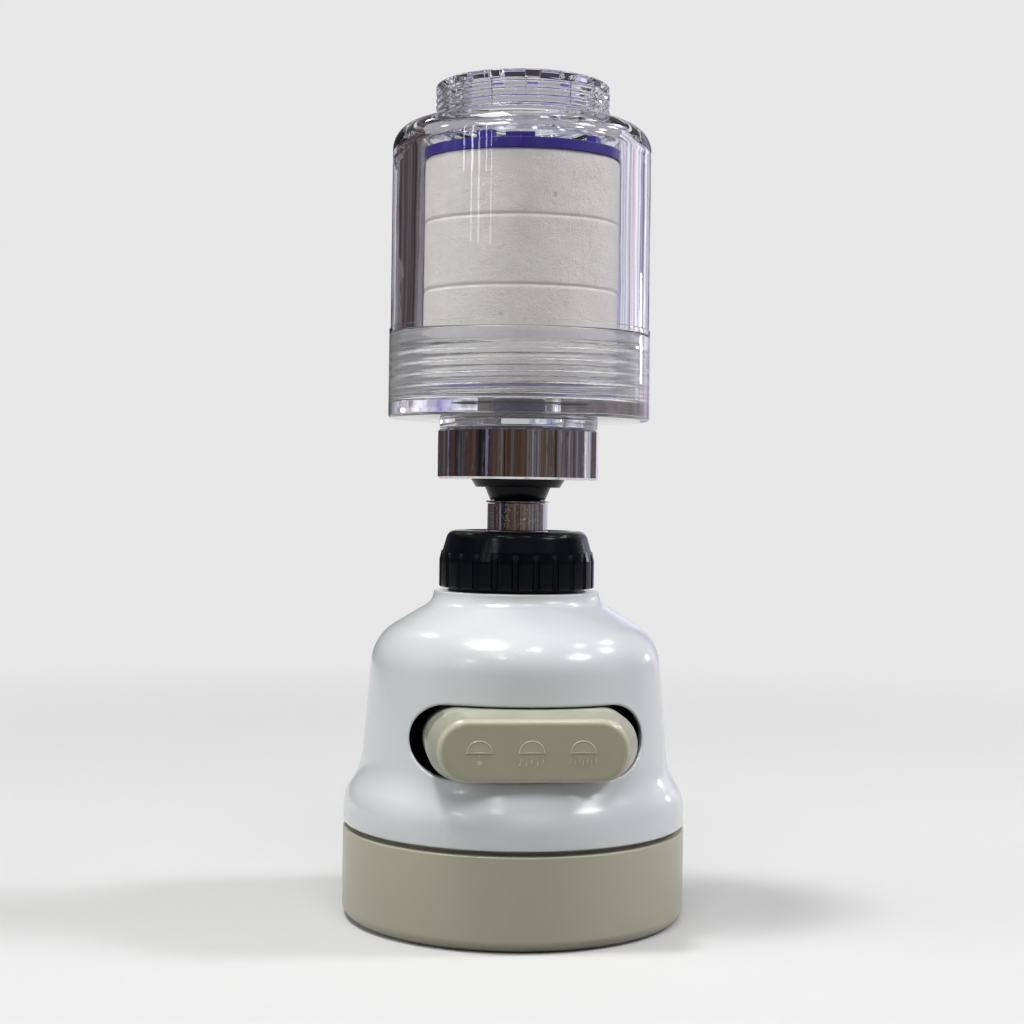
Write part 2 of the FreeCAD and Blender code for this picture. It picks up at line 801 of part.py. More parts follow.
def upper_ball_seat():
    """Black flanged ring that carries the nut on the upper ball."""
    low = stem_top + upper_neck_height
    flange_top = low + upper_seat_flange_height
    collar_low = nut_bottom + nut_floor + running_fit
    seat_top = boss_end - nut_gasket_thickness - turning_gap
    seat_sphere = upper_ball_radius + running_fit
    throat = upper_ball_height - math.sqrt(seat_sphere ** 2 - upper_seat_throat_radius ** 2)
    seat_radius = boss_radius + thread_fit - upper_seat_side_gap
    ring = turned(
        (upper_ball_radius - upper_seat_mouth_inset, low),
        (upper_seat_flange_radius - upper_seat_flange_slope, low, small_edge),
        (upper_seat_flange_radius, flange_top, small_edge),
        (upper_seat_flange_radius, collar_low),
        (seat_radius, collar_low),
        (seat_radius, seat_top),
        (upper_seat_throat_radius, seat_top),
        (upper_seat_throat_radius, throat),
    )
    return ring.cut(Part.makeSphere(seat_sphere, Vector(0, 0, upper_ball_height)))


def nut():
    """Chromed swivel nut with wide hollow flutes."""
    body = turned(
        (upper_seat_flange_radius + thread_fit, nut_bottom),
        (nut_radius - nut_chamfer, nut_bottom),
        (nut_radius, nut_bottom + nut_chamfer),
        (nut_radius, nut_top - nut_chamfer),
        (nut_radius - nut_chamfer, nut_top),
        (boss_radius + thread_fit, nut_top),
        (boss_radius + thread_fit, nut_bottom + nut_floor),
        (upper_seat_flange_radius + thread_fit, nut_bottom + nut_floor),
    )
    reach = nut_radius - nut_flute_depth + nut_flute_radius
    cutter = post(nut_flute_radius, nut_bottom, nut_top, Vector(reach, 0, 0))
    return body.cut(around(cutter, nut_flute_count, 180.0 / nut_flute_count))


def nut_gasket():
    """Flat rubber washer between the boss and the seat."""
    low = boss_end - nut_gasket_thickness
    inner = upper_ball_radius + nut_gasket_overlap
    return turned((inner, low), (boss_radius, low), (boss_radius, boss_end), (inner, boss_end))


def end_cap():
    """Clear cup with a threaded outlet boss, moulded in one piece."""
    flange_low = nut_top + turning_gap
    bore_top = cap_bottom + boss_bore_depth
    return turned(
        (outlet_radius, cap_floor_top),
        (outlet_radius, bore_top),
        (boss_bore_radius, bore_top),
        (boss_bore_radius, boss_end),
        (boss_radius, boss_end, soft_edge),
        (boss_radius, flange_low),
        (boss_flange_radius, flange_low, small_edge),
        (boss_flange_radius, cap_bottom, soft_edge),
        (cap_radius, cap_bottom, cap_edge_rounding),
        (cap_radius, cap_top, small_edge),
        (seal_pocket_radius, cap_top),
        (seal_pocket_radius, seal_pocket_floor),
        (cap_bore_radius, seal_pocket_floor),
        (cap_bore_radius, cap_floor_top, cap_edge_rounding),
    )


def canister_seal():
    """Soft clear ring in the groove of the canister, closed in by the cap's lip."""
    return ring_seal(skirt_radius - seal_groove_depth + running_fit, seal_pocket_radius - loose_fit,
                     seal_pocket_floor + turning_gap, flange_bottom - turning_gap)


def canister():
    """Clear thick-walled jar, neck up, with a skirt that screws into the end cap."""
    groove_radius = skirt_radius - seal_groove_depth
    roof_height = neck_base - canister_roof
    shoulder = neck_base - shoulder_drop
    bore_top_radius = canister_bore_radius - canister_draft
    body = turned(
        (neck_bore_radius, canister_top, small_edge),
        (neck_radius, canister_top, neck_edge_rounding),
        (neck_radius, neck_base, soft_edge),
        (canister_radius, shoulder, canister_shoulder_rounding),
        (canister_radius, flange_bottom + canister_flange_height),
        (cap_radius, flange_bottom + canister_flange_height, small_edge),
        (cap_radius, flange_bottom, small_edge),
        (groove_radius, flange_bottom),
        (groove_radius, seal_pocket_floor),
        (skirt_radius, seal_pocket_floor),
        (skirt_radius, skirt_bottom, soft_edge),
        (canister_bore_radius, skirt_bottom, soft_edge),
        (bore_top_radius, roof_height, canister_roof_rounding),
        (neck_bore_radius, roof_height),
    )
    return body.cut(around(notch(), notch_count, -90.0))


def notch():
    """Tapered pocket sunk in the neck's rim behind a thin outer lip."""
    inner = neck_bore_radius - notch_overrun
    outer = neck_radius - notch_lip
    half_top = notch_top_width / 2
    half_bottom = notch_bottom_width / 2
    low = canister_top - notch_depth
    profile = [Vector(inner, -half_top, canister_top), Vector(inner, half_top, canister_top),
               Vector(inner, half_bottom, low), Vector(inner, -half_bottom, low)]
    wedge = Part.Face(Part.makePolygon(profile + profile[:1])).extrude(Vector(outer - inner, 0, 0))
    return wedge.common(post(outer, low, canister_top))


def outlet_gasket():
    """Flat rubber washer between the cartridge and the end cap's floor."""
    inner = outlet_radius + loose_fit
    outer = inner + outlet_gasket_width
    return turned((inner, cap_floor_top), (outer, cap_floor_top),
                  (outer, cartridge_bottom), (inner, cartridge_bottom))


def cartridge_lower_cap():
    """Blue disc with an outlet nipple below and a plug in the sleeve's bore."""
    plug_radius = cartridge_bore_radius - thread_fit
    nipple_radius = outlet_radius - loose_fit
    return turned(
        (nipple_bore_radius, cartridge_bottom - nipple_length),
        (nipple_radius, cartridge_bottom - nipple_length, soft_edge),
        (nipple_radius, cartridge_bottom),
        (cartridge_cap_radius, cartridge_bottom, soft_edge),
        (cartridge_cap_radius, sleeve_bottom),
        (plug_radius, sleeve_bottom),
        (plug_radius, sleeve_bottom + cartridge_plug_depth),
        (plug_radius - cartridge_plug_wall, sleeve_bottom + cartridge_plug_depth),
        (nipple_bore_radius, sleeve_bottom),
    )


def cotton_sleeve():
    """Wound cotton sleeve with shallow grooves between its bands."""
    sleeve = turned((cartridge_bore_radius, sleeve_bottom), (cartridge_radius, sleeve_bottom),
                    (cartridge_radius, sleeve_top), (cartridge_bore_radius, sleeve_top))
    reach = cartridge_radius - sleeve_groove_depth + sleeve_groove_radius
    grooves = [
        Part.makeTorus(reach, sleeve_groove_radius, Vector(0, 0, sleeve_bottom + height))
        for height in sleeve_grooves
    ]
    return sleeve.cut(grooves)


def cartridge_upper_cap():
    """Closed blue disc with spacer lugs and low bumps on its rim."""
    top = sleeve_top + cartridge_cap_thickness
    plug_radius = cartridge_bore_radius - thread_fit
    disc = turned(
        (0.0, sleeve_top),
        (plug_radius - cartridge_plug_wall, sleeve_top),
        (plug_radius - cartridge_plug_wall, sleeve_top - cartridge_plug_depth),
        (plug_radius, sleeve_top - cartridge_plug_depth),
        (plug_radius, sleeve_top),
        (cartridge_cap_radius, sleeve_top),
        (cartridge_cap_radius, top, small_edge),
        (0.0, top),
    )
    lug = block(lug_width, lug_thickness, top - lug_root, top + lug_height, -lug_ring_radius)
    bump = block(rim_bump_width, lug_thickness, sleeve_top, top + rim_bump_height,
                 -cartridge_cap_radius + lug_thickness / 2 + loose_fit)
    lugs = around(lug, lug_count, lug_first_angle)
    bumps = around(bump, lug_count, rim_bump_first_angle)
    return disc.fuse(lugs + bumps)


save("base_ring", base_ring())
save("spray_plate", spray_plate())
save("nozzle_mat", nozzle_mat())
save("jet_insert", jet_insert())
save("jet_screen", jet_screen())
save("distributor", distributor())
save("port_seal", port_seal())
save("centre_screw", centre_screw())
save("core_body", core_body())
save("shell", shell())
save("selector_cup", selector_cup())
save("selector_pad", selector_pad())
save("ball_seal", ball_seal())
save("lower_ball_seat", lower_ball_seat())
save("collar", collar())
save("collar_liner", collar_liner())
save("ball_stem", ball_stem())
save("upper_ball", upper_ball())
save("upper_ball_seat", upper_ball_seat())
save("nut", nut())
save("nut_gasket", nut_gasket())
save("end_cap", end_cap())
save("outlet_gasket", outlet_gasket())
save("cartridge_lower_cap", cartridge_lower_cap())
save("cotton_sleeve", cotton_sleeve())
save("cartridge_upper_cap", cartridge_upper_cap())
save("canister_seal", canister_seal())
save("canister", canister())
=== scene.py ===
import math

import bmesh
import bpy
import numpy as np
from mathutils import Matrix


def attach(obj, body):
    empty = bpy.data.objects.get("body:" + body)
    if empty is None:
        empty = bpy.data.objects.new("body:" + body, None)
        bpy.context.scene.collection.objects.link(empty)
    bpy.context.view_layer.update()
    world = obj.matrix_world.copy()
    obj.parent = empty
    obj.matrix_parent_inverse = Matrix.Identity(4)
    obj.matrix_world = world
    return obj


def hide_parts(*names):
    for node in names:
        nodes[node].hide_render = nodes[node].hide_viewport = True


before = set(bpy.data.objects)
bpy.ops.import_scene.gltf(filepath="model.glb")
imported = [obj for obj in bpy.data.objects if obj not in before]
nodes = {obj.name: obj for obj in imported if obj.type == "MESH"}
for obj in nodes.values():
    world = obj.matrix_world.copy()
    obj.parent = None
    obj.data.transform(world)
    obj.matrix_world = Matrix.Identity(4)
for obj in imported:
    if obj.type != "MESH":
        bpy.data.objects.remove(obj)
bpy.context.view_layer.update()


# Base ring: the skirt that the spray head stands on. Injection-moulded ABS in olive beige,
# with a spigot on top that snaps into the shell and a flange inside for the water plates.
def rounded(corners):
    """Closed outline in metres through corners (radius, height[, rounding]) in millimetres.

    A rounded corner becomes the arc that touches both sides: its centre lies rounding / sin(half angle)
    along the bisector, and the arc runs from one touching point to the other in steps of up to 6 degrees."""
    points = np.array([corner[:2] for corner in corners], float)
    runs = []
    for index, corner in enumerate(corners):
        here = points[index]
        if len(corner) == 2:
            runs.append(here[None])
            continue
        back = points[index - 1] - here
        ahead = points[(index + 1) % len(points)] - here
        back /= np.linalg.norm(back)
        ahead /= np.linalg.norm(ahead)
        half = math.acos(np.clip(back @ ahead, -1, 1)) / 2
        bisector = (back + ahead) / np.linalg.norm(back + ahead)
        centre = here + bisector * corner[2] / math.sin(half)
        start, finish = (here + side * corner[2] / math.tan(half) - centre for side in (back, ahead))
        first = math.atan2(start[1], start[0])
        sweep = (math.atan2(finish[1], finish[0]) - first + math.pi) % math.tau - math.pi
        angles = first + np.linspace(0, sweep, 2 + int(abs(sweep) / math.radians(6)))
        runs.append(centre + corner[2] * np.stack([np.cos(angles), np.sin(angles)], 1))
    return np.concatenate(runs) / 1000


def mesh_object(name, points, faces, sharp=35):
    """Object from points (n, 3) in metres and faces (m, 4), welded; edges are sharp from sharp degrees."""
    mesh = bpy.data.meshes.new(name)
    mesh.from_pydata(points, [], faces)
    work = bmesh.new()
    work.from_mesh(mesh)
    bmesh.ops.remove_doubles(work, verts=work.verts, dist=1e-6)
    bmesh.ops.dissolve_degenerate(work, edges=work.edges, dist=1e-7)
    work.to_mesh(mesh)
    work.free()
    mesh.shade_smooth()
    mesh.set_sharp_from_angle(angle=math.radians(sharp))
    made = bpy.data.objects.new(name, mesh)
    bpy.context.scene.collection.objects.link(made)
    return made


def cells(rows, columns, wrap_rows, wrap_columns, first=0):
    """Corner numbers of the quads of a grid of points, row by row, closed on itself where asked."""
    row_count = rows if wrap_rows else rows - 1
    column_count = columns if wrap_columns else columns - 1
    row, column = np.meshgrid(np.arange(row_count), np.arange(column_count), indexing="ij")
    beside = (column + 1) % columns
    here, below = row * columns, (row + 1) % rows * columns
    quads = [here + column, here + beside, below + beside, below + column]
    return first + np.stack(quads, -1).reshape(-1, 4)


def anticlockwise(outline):
    """The outline with its inside to the left of its run, so that turned faces point outwards."""
    following = np.roll(outline, -1, 0)
    area = (outline[:, 0] * following[:, 1] - following[:, 0] * outline[:, 1]).sum()
    return outline if area > 0 else outline[::-1]


def turned(name, outline, bearings=None, reshape=None, sharp=35):
    """Surface turned about Z: outline point (r, z) at bearing t from the front is (r sin t, -r cos t, z).

    reshape(r, z, t) may give new grids of r and z, such as for flutes or a thread."""
    outline = anticlockwise(outline)
    t = np.linspace(0, math.tau, 192, endpoint=False) if bearings is None else bearings
    r, z, t = np.broadcast_arrays(outline[:, :1], outline[:, 1:], t[None])
    if reshape:
        r, z = reshape(r, z, t)
    points = np.stack([r * np.sin(t), -r * np.cos(t), z], -1).reshape(-1, 3)
    return mesh_object(name, points, cells(*r.shape, True, True), sharp)


base_ring = turned("base_ring_dressed", rounded([
    (23.95, 19.2), (25.55, 19.2), (25.55, 14.5), (28.0, 14.5, 0.3), (28.0, 0.0, 2.0), (24.4, 0.0, 0.3),
    (24.4, 3.9), (22.15, 3.9), (22.15, 5.5), (26.0, 5.5), (26.0, 12.5), (23.95, 14.5)]))


def add(tree, kind, values=None, **settings):
    """New node with its settings. values go to its sockets by name or number, and a socket is linked."""
    made = tree.nodes.new(kind)
    for key, value in settings.items():
        setattr(made, key, value)
    for key, value in (values or {}).items():
        if isinstance(value, bpy.types.NodeSocket):
            tree.links.new(value, made.inputs[key])
        else:
            made.inputs[key].default_value = value
    return made


def place_in(tree):
    """A point's place on its piece, in metres."""
    return add(tree, "ShaderNodeTexCoord").outputs["Object"]


def mapped(tree, place, **values):
    """The place turned by Rotation and stretched by Scale, for a pattern that runs one way."""
    return add(tree, "ShaderNodeMapping", {"Vector": place, **values}).outputs[0]


def noise(tree, place, scale, detail, **values):
    """Smooth noise between 0 and 1, with scale waves in a metre."""
    values = {"Vector": place, "Scale": scale, "Detail": detail, **values}
    return add(tree, "ShaderNodeTexNoise", values).outputs["Fac"]


def maths(tree, operation, *values):
    """Result of a Math node on these values or sockets."""
    return add(tree, "ShaderNodeMath", dict(enumerate(values)), operation=operation).outputs[0]


def spread(tree, value, low, high, least, most, kind="LINEAR"):
    """The value's run from low to high, carried over to least to most and held at the ends."""
    values = dict(enumerate((value, low, high, least, most)))
    return add(tree, "ShaderNodeMapRange", values, interpolation_type=kind).outputs[0]


def swing(tree, wave, amount, middle):
    """middle + amount * (2 * wave - 1)."""
    centred = maths(tree, "MULTIPLY_ADD", wave, 2.0, -1.0)
    return maths(tree, "MULTIPLY_ADD", centred, amount, middle)


def scaled(tree, color, factor):
    """Colour times a factor."""
    return add(tree, "ShaderNodeVectorMath", {0: color, "Scale": factor}, operation="SCALE").outputs[0]


def surface_group(name, **inputs):
    """Empty node group for a finish, with named inputs (_ for a space), that gives a colour, a roughness
    and a height: its tree and its input sockets."""
    tree = bpy.data.node_groups.new(name, "ShaderNodeTree")
    for key, value in inputs.items():
        kind = "NodeSocketFloat" if isinstance(value, float) else "NodeSocketColor"
        made = tree.interface.new_socket(key.replace("_", " "), in_out="INPUT", socket_type=kind)
        made.default_value = value
    for label, kind in (("Color", "Color"), ("Roughness", "Float"), ("Height", "Float")):
        tree.interface.new_socket(label, in_out="OUTPUT", socket_type="NodeSocket" + kind)
    return tree, tree.nodes.new("NodeGroupInput").outputs


def give_out(tree, color, roughness, height):
    """Close a finish's group with its three results."""
    outlet = tree.nodes.new("NodeGroupOutput")
    for label, socket in (("Color", color), ("Roughness", roughness), ("Height", height)):
        tree.links.new(socket, outlet.inputs[label])
    return tree


def make_moulded_surface():
    """Group for moulded plastic: cloudy tone, uneven gloss, fine grain and faint rubbed marks."""
    tree, given = surface_group("moulded_surface", Color=(0.5, 0.5, 0.5, 1), Cloudiness=0.05, Roughness=0.3,
                                Unevenness=0.05, Grain_size=0.0004, Marks=0.3)
    place = place_in(tree)
    cloud = noise(tree, place, 70.0, 4.0)
    color = scaled(tree, given["Color"], swing(tree, cloud, given["Cloudiness"], 1.0))
    grain = noise(tree, place, maths(tree, "DIVIDE", 1.0, given["Grain size"]), 3.0)
    strokes = mapped(tree, place, Scale=(260.0, 260.0, 40.0), Rotation=(0.5, 0.3, 0))
    rubbed = spread(tree, noise(tree, strokes, 3.0, 6.0), 0.5, 0.8, 0.0, 1.0, "SMOOTHSTEP")
    worn = maths(tree, "MULTIPLY", rubbed, given["Marks"])
    gloss = swing(tree, cloud, given["Unevenness"], given["Roughness"])
    roughness = maths(tree, "MULTIPLY_ADD", worn, 0.12, gloss)
    height = maths(tree, "MULTIPLY_ADD", worn, -0.3, grain)
    return give_out(tree, color, roughness, height)


moulded_surface = make_moulded_surface()


def finished(name, group, values, depth, **sockets):
    """Material whose colour, roughness and bump come from a finish's group with these values. depth is the
    bump's in metres; sockets are plain values of the shader, with _ for a space."""
    material = bpy.data.materials.new(name)
    material.use_nodes = True
    tree = material.node_tree
    shader = tree.nodes["Principled BSDF"]
    finish = add(tree, "ShaderNodeGroup", values, node_tree=group).outputs
    bump = add(tree, "ShaderNodeBump", {"Strength": 1.0, "Distance": depth, "Height": finish["Height"]})
    tree.links.new(finish["Color"], shader.inputs["Base Color"])
    tree.links.new(finish["Roughness"], shader.inputs["Roughness"])
    tree.links.new(bump.outputs[0], shader.inputs["Normal"])
    for key, value in sockets.items():
        shader.inputs[key.replace("_", " ")].default_value = value
    return material


def moulded(name, color, cloudiness=0.05, roughness=0.3, unevenness=0.05, grain=0.0004, depth=0.00001,
            marks=0.3, **sockets):
    """Material of moulded plastic or rubber."""
    values = {"Color": (*color, 1), "Cloudiness": cloudiness, "Roughness": roughness,
              "Unevenness": unevenness, "Grain size": grain, "Marks": marks}
    return finished(name, moulded_surface, values, depth, **sockets)


def dress(piece, material):
    """Give a piece this material alone."""
    piece.data.materials.clear()
    piece.data.materials.append(material)
    return piece


beige = moulded("beige_abs", (0.46, 0.45, 0.34), cloudiness=0.03, roughness=0.3, marks=0.15)
dress(base_ring, beige)
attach(base_ring, "head")
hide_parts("base_ring")


# Inner pieces: face plate, silicone nozzle mat, jet tube with its steel screen, distributor and core, and
# further up the selector's cup, the seals, gaskets and slippery rings. They are plain moulded, turned and
# stamped pieces, clamped by the centre screw or squeezed between their neighbours.
white = moulded("white_abs", (0.72, 0.72, 0.69), roughness=0.4)
silicone = moulded("grey_silicone", (0.42, 0.42, 0.4), roughness=0.5, grain=0.0006)
rubber = moulded("black_rubber", (0.02, 0.02, 0.02), cloudiness=0.2, roughness=0.6, grain=0.0005,
                 depth=0.00002)
tan_rubber = moulded("tan_rubber", (0.3, 0.245, 0.2), cloudiness=0.1, roughness=0.5, grain=0.0005)
slippery = moulded("white_pom", (0.78, 0.78, 0.75), roughness=0.28)
black_pom = moulded("black_pom", (0.004, 0.005, 0.007), cloudiness=0.2, roughness=0.2, unevenness=0.03,
                    marks=0.2, Specular_IOR_Level=0.12)
black_gloss = moulded("black_gloss_abs", (0.003, 0.004, 0.006), cloudiness=0.15, roughness=0.16,
                      unevenness=0.04, Specular_IOR_Level=0.14)


def make_bright_metal():
    """Group for bright metal: cloudy tone, fine dark pits, drawn out along Z where Stretch is below 1, and
    a roughness that follows both."""
    tree, given = surface_group("bright_metal", Color=(0.8, 0.8, 0.82, 1), Roughness=0.06, Pits=0.3,
                                Pit_size=0.0004, Stretch=1.0)
    place = place_in(tree)
    stretch = add(tree, "ShaderNodeCombineXYZ", {0: 1.0, 1: 1.0, 2: given["Stretch"]}).outputs[0]
    drawn = mapped(tree, place, Scale=stretch)
    spots = noise(tree, drawn, maths(tree, "DIVIDE", 1.0, given["Pit size"]), 2.0)
    pitted = maths(tree, "MULTIPLY", spread(tree, spots, 0.6, 0.7, 0.0, 1.0), given["Pits"])
    cloud = noise(tree, place, 160.0, 3.0)
    tone = maths(tree, "MULTIPLY_ADD", pitted, -0.6, swing(tree, cloud, 0.05, 1.0))
    gloss = swing(tree, cloud, 0.02, given["Roughness"])
    roughness = maths(tree, "MULTIPLY_ADD", pitted, 0.35, gloss)
    height = maths(tree, "MULTIPLY", pitted, -1.0)
    return give_out(tree, scaled(tree, given["Color"], tone), roughness, height)


bright_metal = make_bright_metal()


def metal(name, color, roughness, pits, pit_size=0.0004, stretch=1.0, depth=0.00003):
    """Material of plated or bare metal."""
    values = {"Color": (*color, 1), "Roughness": roughness, "Pits": pits, "Pit size": pit_size,
              "Stretch": stretch}
    return finished(name, bright_metal, values, depth, Metallic=1.0)


steel = metal("plain_steel", (0.56, 0.56, 0.57), roughness=0.3, pits=0.2, stretch=0.1)
inner_finishes = {
    "spray_plate": beige, "nozzle_mat": silicone, "jet_insert": white, "jet_screen": steel,
    "distributor": white, "port_seal": rubber, "centre_screw": steel, "core_body": black_gloss,
    "ball_seal": rubber, "selector_cup": black_pom, "lower_ball_seat": slippery, "collar_liner": slippery,
    "nut_gasket": rubber, "outlet_gasket": tan_rubber,
}
for name, material in inner_finishes.items():
    dress(nodes[name], material)


# Shell: the bell-shaped cover of the spray head, moulded in glossy light grey ABS about 2 mm thick.
# It snaps over the base ring's spigot and has one long slot, with a softened edge, for the selector's pad.
shell_corners = [
    (11.4, 52.9), (13.6, 52.9, 0.2), (13.6, 51.3, 2.4), (23.47, 45.3, 8.4), (25.15, 24.2, 8.0),
    (27.95, 19.7, 7.0), (27.95, 15.3, 0.3), (25.75, 15.3), (25.75, 19.2), (23.95, 19.2), (23.15, 24.2, 8.0),
    (21.47, 44.18, 6.4), (18.14, 46.2), (11.4, 46.2)]
slot_height = 0.0308
slot_reach = 0.01262
slot_radius = 0.0056
slot_rounding = 0.0005
# Round the slot, a window is left out of each wall's grid, in rows of height and columns of bearing.
window_low, window_high, window_rows = 0.0215, 0.0395, 16
window_columns, shell_columns = 48, 144
straight_columns = 24


def stadium_run():
    """Points of a round-ended outline, as the x of its core segment and its unit normal (nx, nz). It runs
    anticlockwise from the right end of the upper side: side, half circle, lower side, half circle."""
    round_count = window_columns + window_rows - straight_columns
    across = np.linspace(slot_reach, -slot_reach, straight_columns, endpoint=False)
    turn = np.linspace(0, math.pi, round_count, endpoint=False)
    ends = np.full(round_count, slot_reach)
    core = np.concatenate([across, -ends, -across, ends])
    upright = np.full(straight_columns, math.pi / 2)
    angle = np.concatenate([upright, math.pi / 2 + turn, 3 * upright, 1.5 * math.pi + turn])
    return core, np.cos(angle), np.sin(angle)


def window_run():
    """Bearing and height of the window's edge, point for point beside stadium_run."""
    half = window_columns // 2
    side = (window_columns - straight_columns) // 2
    left = np.linspace(window_high, window_low, window_rows, endpoint=False)
    right = np.linspace(window_low, window_high, window_rows, endpoint=False)
    top = np.arange(straight_columns // 2, -half, -1)
    bottom = np.arange(-half, half)
    rest = np.arange(half, half - side, -1)
    upright = np.full(window_rows, half)
    column = np.concatenate([top, -upright, bottom, upright, rest])
    height = np.concatenate([np.full(len(top), window_high), left, np.full(len(bottom), window_low), right,
                             np.full(len(rest), window_high)])
    return column * (math.tau / shell_columns), height


def slotted_wall(chain, reach):
    """Grid rows of one wall, a rising chain of (radius, height), with the number of the window's first row.

    The third result is a ring of points that runs straight in bearing and height from the window's edge to
    the slot's outline on the wall, reach away from the slot's core segment."""
    heights = np.linspace(window_low, window_high, window_rows + 1)
    inside = np.stack([np.interp(heights, chain[:, 1], chain[:, 0]), heights], 1)
    below, above = chain[chain[:, 1] < window_low - 1e-6], chain[chain[:, 1] > window_high + 1e-6]
    core, nx, nz = stadium_run()
    bearing, height = window_run()
    x, z = core + nx * reach, slot_height + nz * reach
    target = np.arcsin(x / np.interp(z, chain[:, 1], chain[:, 0]))
    share = np.linspace(0, 1, 11)[:, None] ** 0.8
    ring_bearing = bearing + (target - bearing) * share
    ring_height = height + (z - height) * share
    radius = np.interp(ring_height, chain[:, 1], chain[:, 0])
    ring = np.stack([radius * np.sin(ring_bearing), -radius * np.cos(ring_bearing), ring_height], -1)
    return np.concatenate([below, inside, above]), len(below), ring


def make_shell():
    """Turned double wall with a window cut in both walls, joined through the slot: on the slot's edge the
    outline shrinks by rounding * (1 - sin a) while it sinks by rounding * (1 - cos a), and the slot's wall
    is straight in Y."""
    outline = anticlockwise(rounded(shell_corners))
    # The outer wall runs from the lowest corner to the highest one, each the furthest out at its height.
    lean = outline[:, 0] * 0.1
    lowest, highest = np.argmin(outline[:, 1] - lean), np.argmax(outline[:, 1] + lean)
    outline = np.roll(outline, -lowest, 0)
    peak = (highest - lowest) % len(outline)
    outer, inner = outline[:peak + 1], outline[peak + 1:][::-1]
    inner_rise = inner[np.argsort(inner[:, 1], kind="stable")]
    outer_rows, outer_first, outer_ring = slotted_wall(outer, slot_radius + slot_rounding)
    inner_rows, inner_first, inner_ring = slotted_wall(inner_rise, slot_radius)
    rows = np.concatenate([outer_rows, inner_rows[::-1]])
    t = np.arange(shell_columns) * math.tau / shell_columns
    grid = np.stack([rows[:, :1] * np.sin(t), -rows[:, :1] * np.cos(t), rows[:, 1:] + 0 * t], -1)
    faces = cells(len(rows), shell_columns, True, True).reshape(len(rows), shell_columns, 4)
    keep = np.ones((len(rows), shell_columns), bool)
    columns = np.arange(-window_columns // 2, window_columns // 2) % shell_columns
    last = len(rows) - 1 - inner_first
    for low in (outer_first, last - window_rows):
        keep[np.ix_(np.arange(low, low + window_rows), columns)] = False
    core, nx, nz = stadium_run()
    angle = np.linspace(0, math.pi / 2, 6)[1:, None]
    reach = slot_radius + slot_rounding * (1 - np.sin(angle))
    x, z = core + nx * reach, slot_height + nz * reach
    skin = -np.sqrt(np.interp(z, outer[:, 1], outer[:, 0]) ** 2 - x ** 2)
    lip = np.stack([x, skin + slot_rounding * (1 - np.cos(angle)), z], -1)
    share = np.linspace(0, 1, 4)[1:-1, None, None]
    wall = lip[-1] + (inner_ring[-1] - lip[-1]) * share
    sleeve = np.concatenate([outer_ring, lip, wall, inner_ring[::-1]])
    points = np.concatenate([grid.reshape(-1, 3), sleeve.reshape(-1, 3)])
    around = cells(len(sleeve), sleeve.shape[1], False, True, first=grid.shape[0] * grid.shape[1])
    return mesh_object("shell_dressed", points, np.concatenate([faces[keep], around]), sharp=40)


shell_grey = moulded("shell_grey_abs", (0.73, 0.76, 0.77), cloudiness=0.015, roughness=0.3, unevenness=0.03,
                     marks=0.1, Coat_Weight=0.7, Coat_Roughness=0.14)
shell = dress(make_shell(), shell_grey)
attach(shell, "head")
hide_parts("shell")


# Selector's pad: a beige ABS bar with round ends and a flat face, pushed from side to side with a thumb.
# It is snapped on two lugs of the black cup behind it; the three raised pictograms show the kinds of spray.
pad_back, pad_rim, pad_face = 0.02117, 0.0244, 0.0273
pad_edge = 0.0008
pad_rim_radius, pad_rim_reach = 0.00535, 0.01075
pad_face_radius, pad_face_reach, pad_face_height = 0.0047, 0.00975, 0.03015


def round_bar(depths, reaches, radii, heights):
    """Rings of a round-ended outline, x = reach * s + radius * cos a and z = height + radius * sin a, with
    s from 1 to -1 along a straight side. A ring lies at its depth before the axis, or at 0 on the cup."""
    core, nx, nz = stadium_run()
    x = core / slot_reach * reaches[:, None] + nx * radii[:, None]
    z = heights[:, None] + nz * radii[:, None]
    depth = np.where(depths[:, None] > 0, depths[:, None], np.sqrt(pad_back ** 2 - x ** 2))
    return np.stack([x, -depth, z], -1)


def make_pad():
    """Bar whose ends and top slope from the rim to the face; the edge is a quarter circle, and the face
    closes on its middle line."""
    angle = np.linspace(0, math.pi / 2, 8)
    slope = np.linspace(0, 1, 6)[:-1]
    edge_start = 1 - pad_edge / (pad_face - pad_rim)
    share = np.concatenate([slope * edge_start, edge_start + (1 - edge_start) * np.sin(angle), np.ones(4)])
    inset = np.concatenate([np.zeros(5), pad_edge * (1 - np.cos(angle)),
                            pad_edge + np.linspace(0, 1, 5)[1:] * (pad_face_radius - pad_edge)])
    head = round_bar(pad_rim + (pad_face - pad_rim) * share,
                     pad_rim_reach + (pad_face_reach - pad_rim_reach) * share,
                     pad_rim_radius + (pad_face_radius - pad_rim_radius) * share - inset,
                     slot_height + (pad_face_height - slot_height) * share)
    back = round_bar(np.zeros(5), np.full(5, pad_rim_reach), np.linspace(0, pad_rim_radius, 5),
                     np.full(5, slot_height))
    rings = np.concatenate([back, head])
    quads = cells(rings.shape[0], rings.shape[1], False, True)
    return mesh_object("selector_pad_dressed", rings.reshape(-1, 3), quads, sharp=30)


def blended(tree, share, stops):
    """Colour blended from stop to stop, which are pairs (share, colour) in rising order."""
    ramp = add(tree, "ShaderNodeValToRGB", {0: share})
    elements = ramp.color_ramp.elements
    elements[0].position, elements[1].position = stops[0][0], stops[-1][0]
    for position, _ in stops[1:-1]:
        elements.new(position)
    for element, (_, color) in zip(elements, stops):
        element.color = (*color, 1)
    return ramp.outputs["Color"]


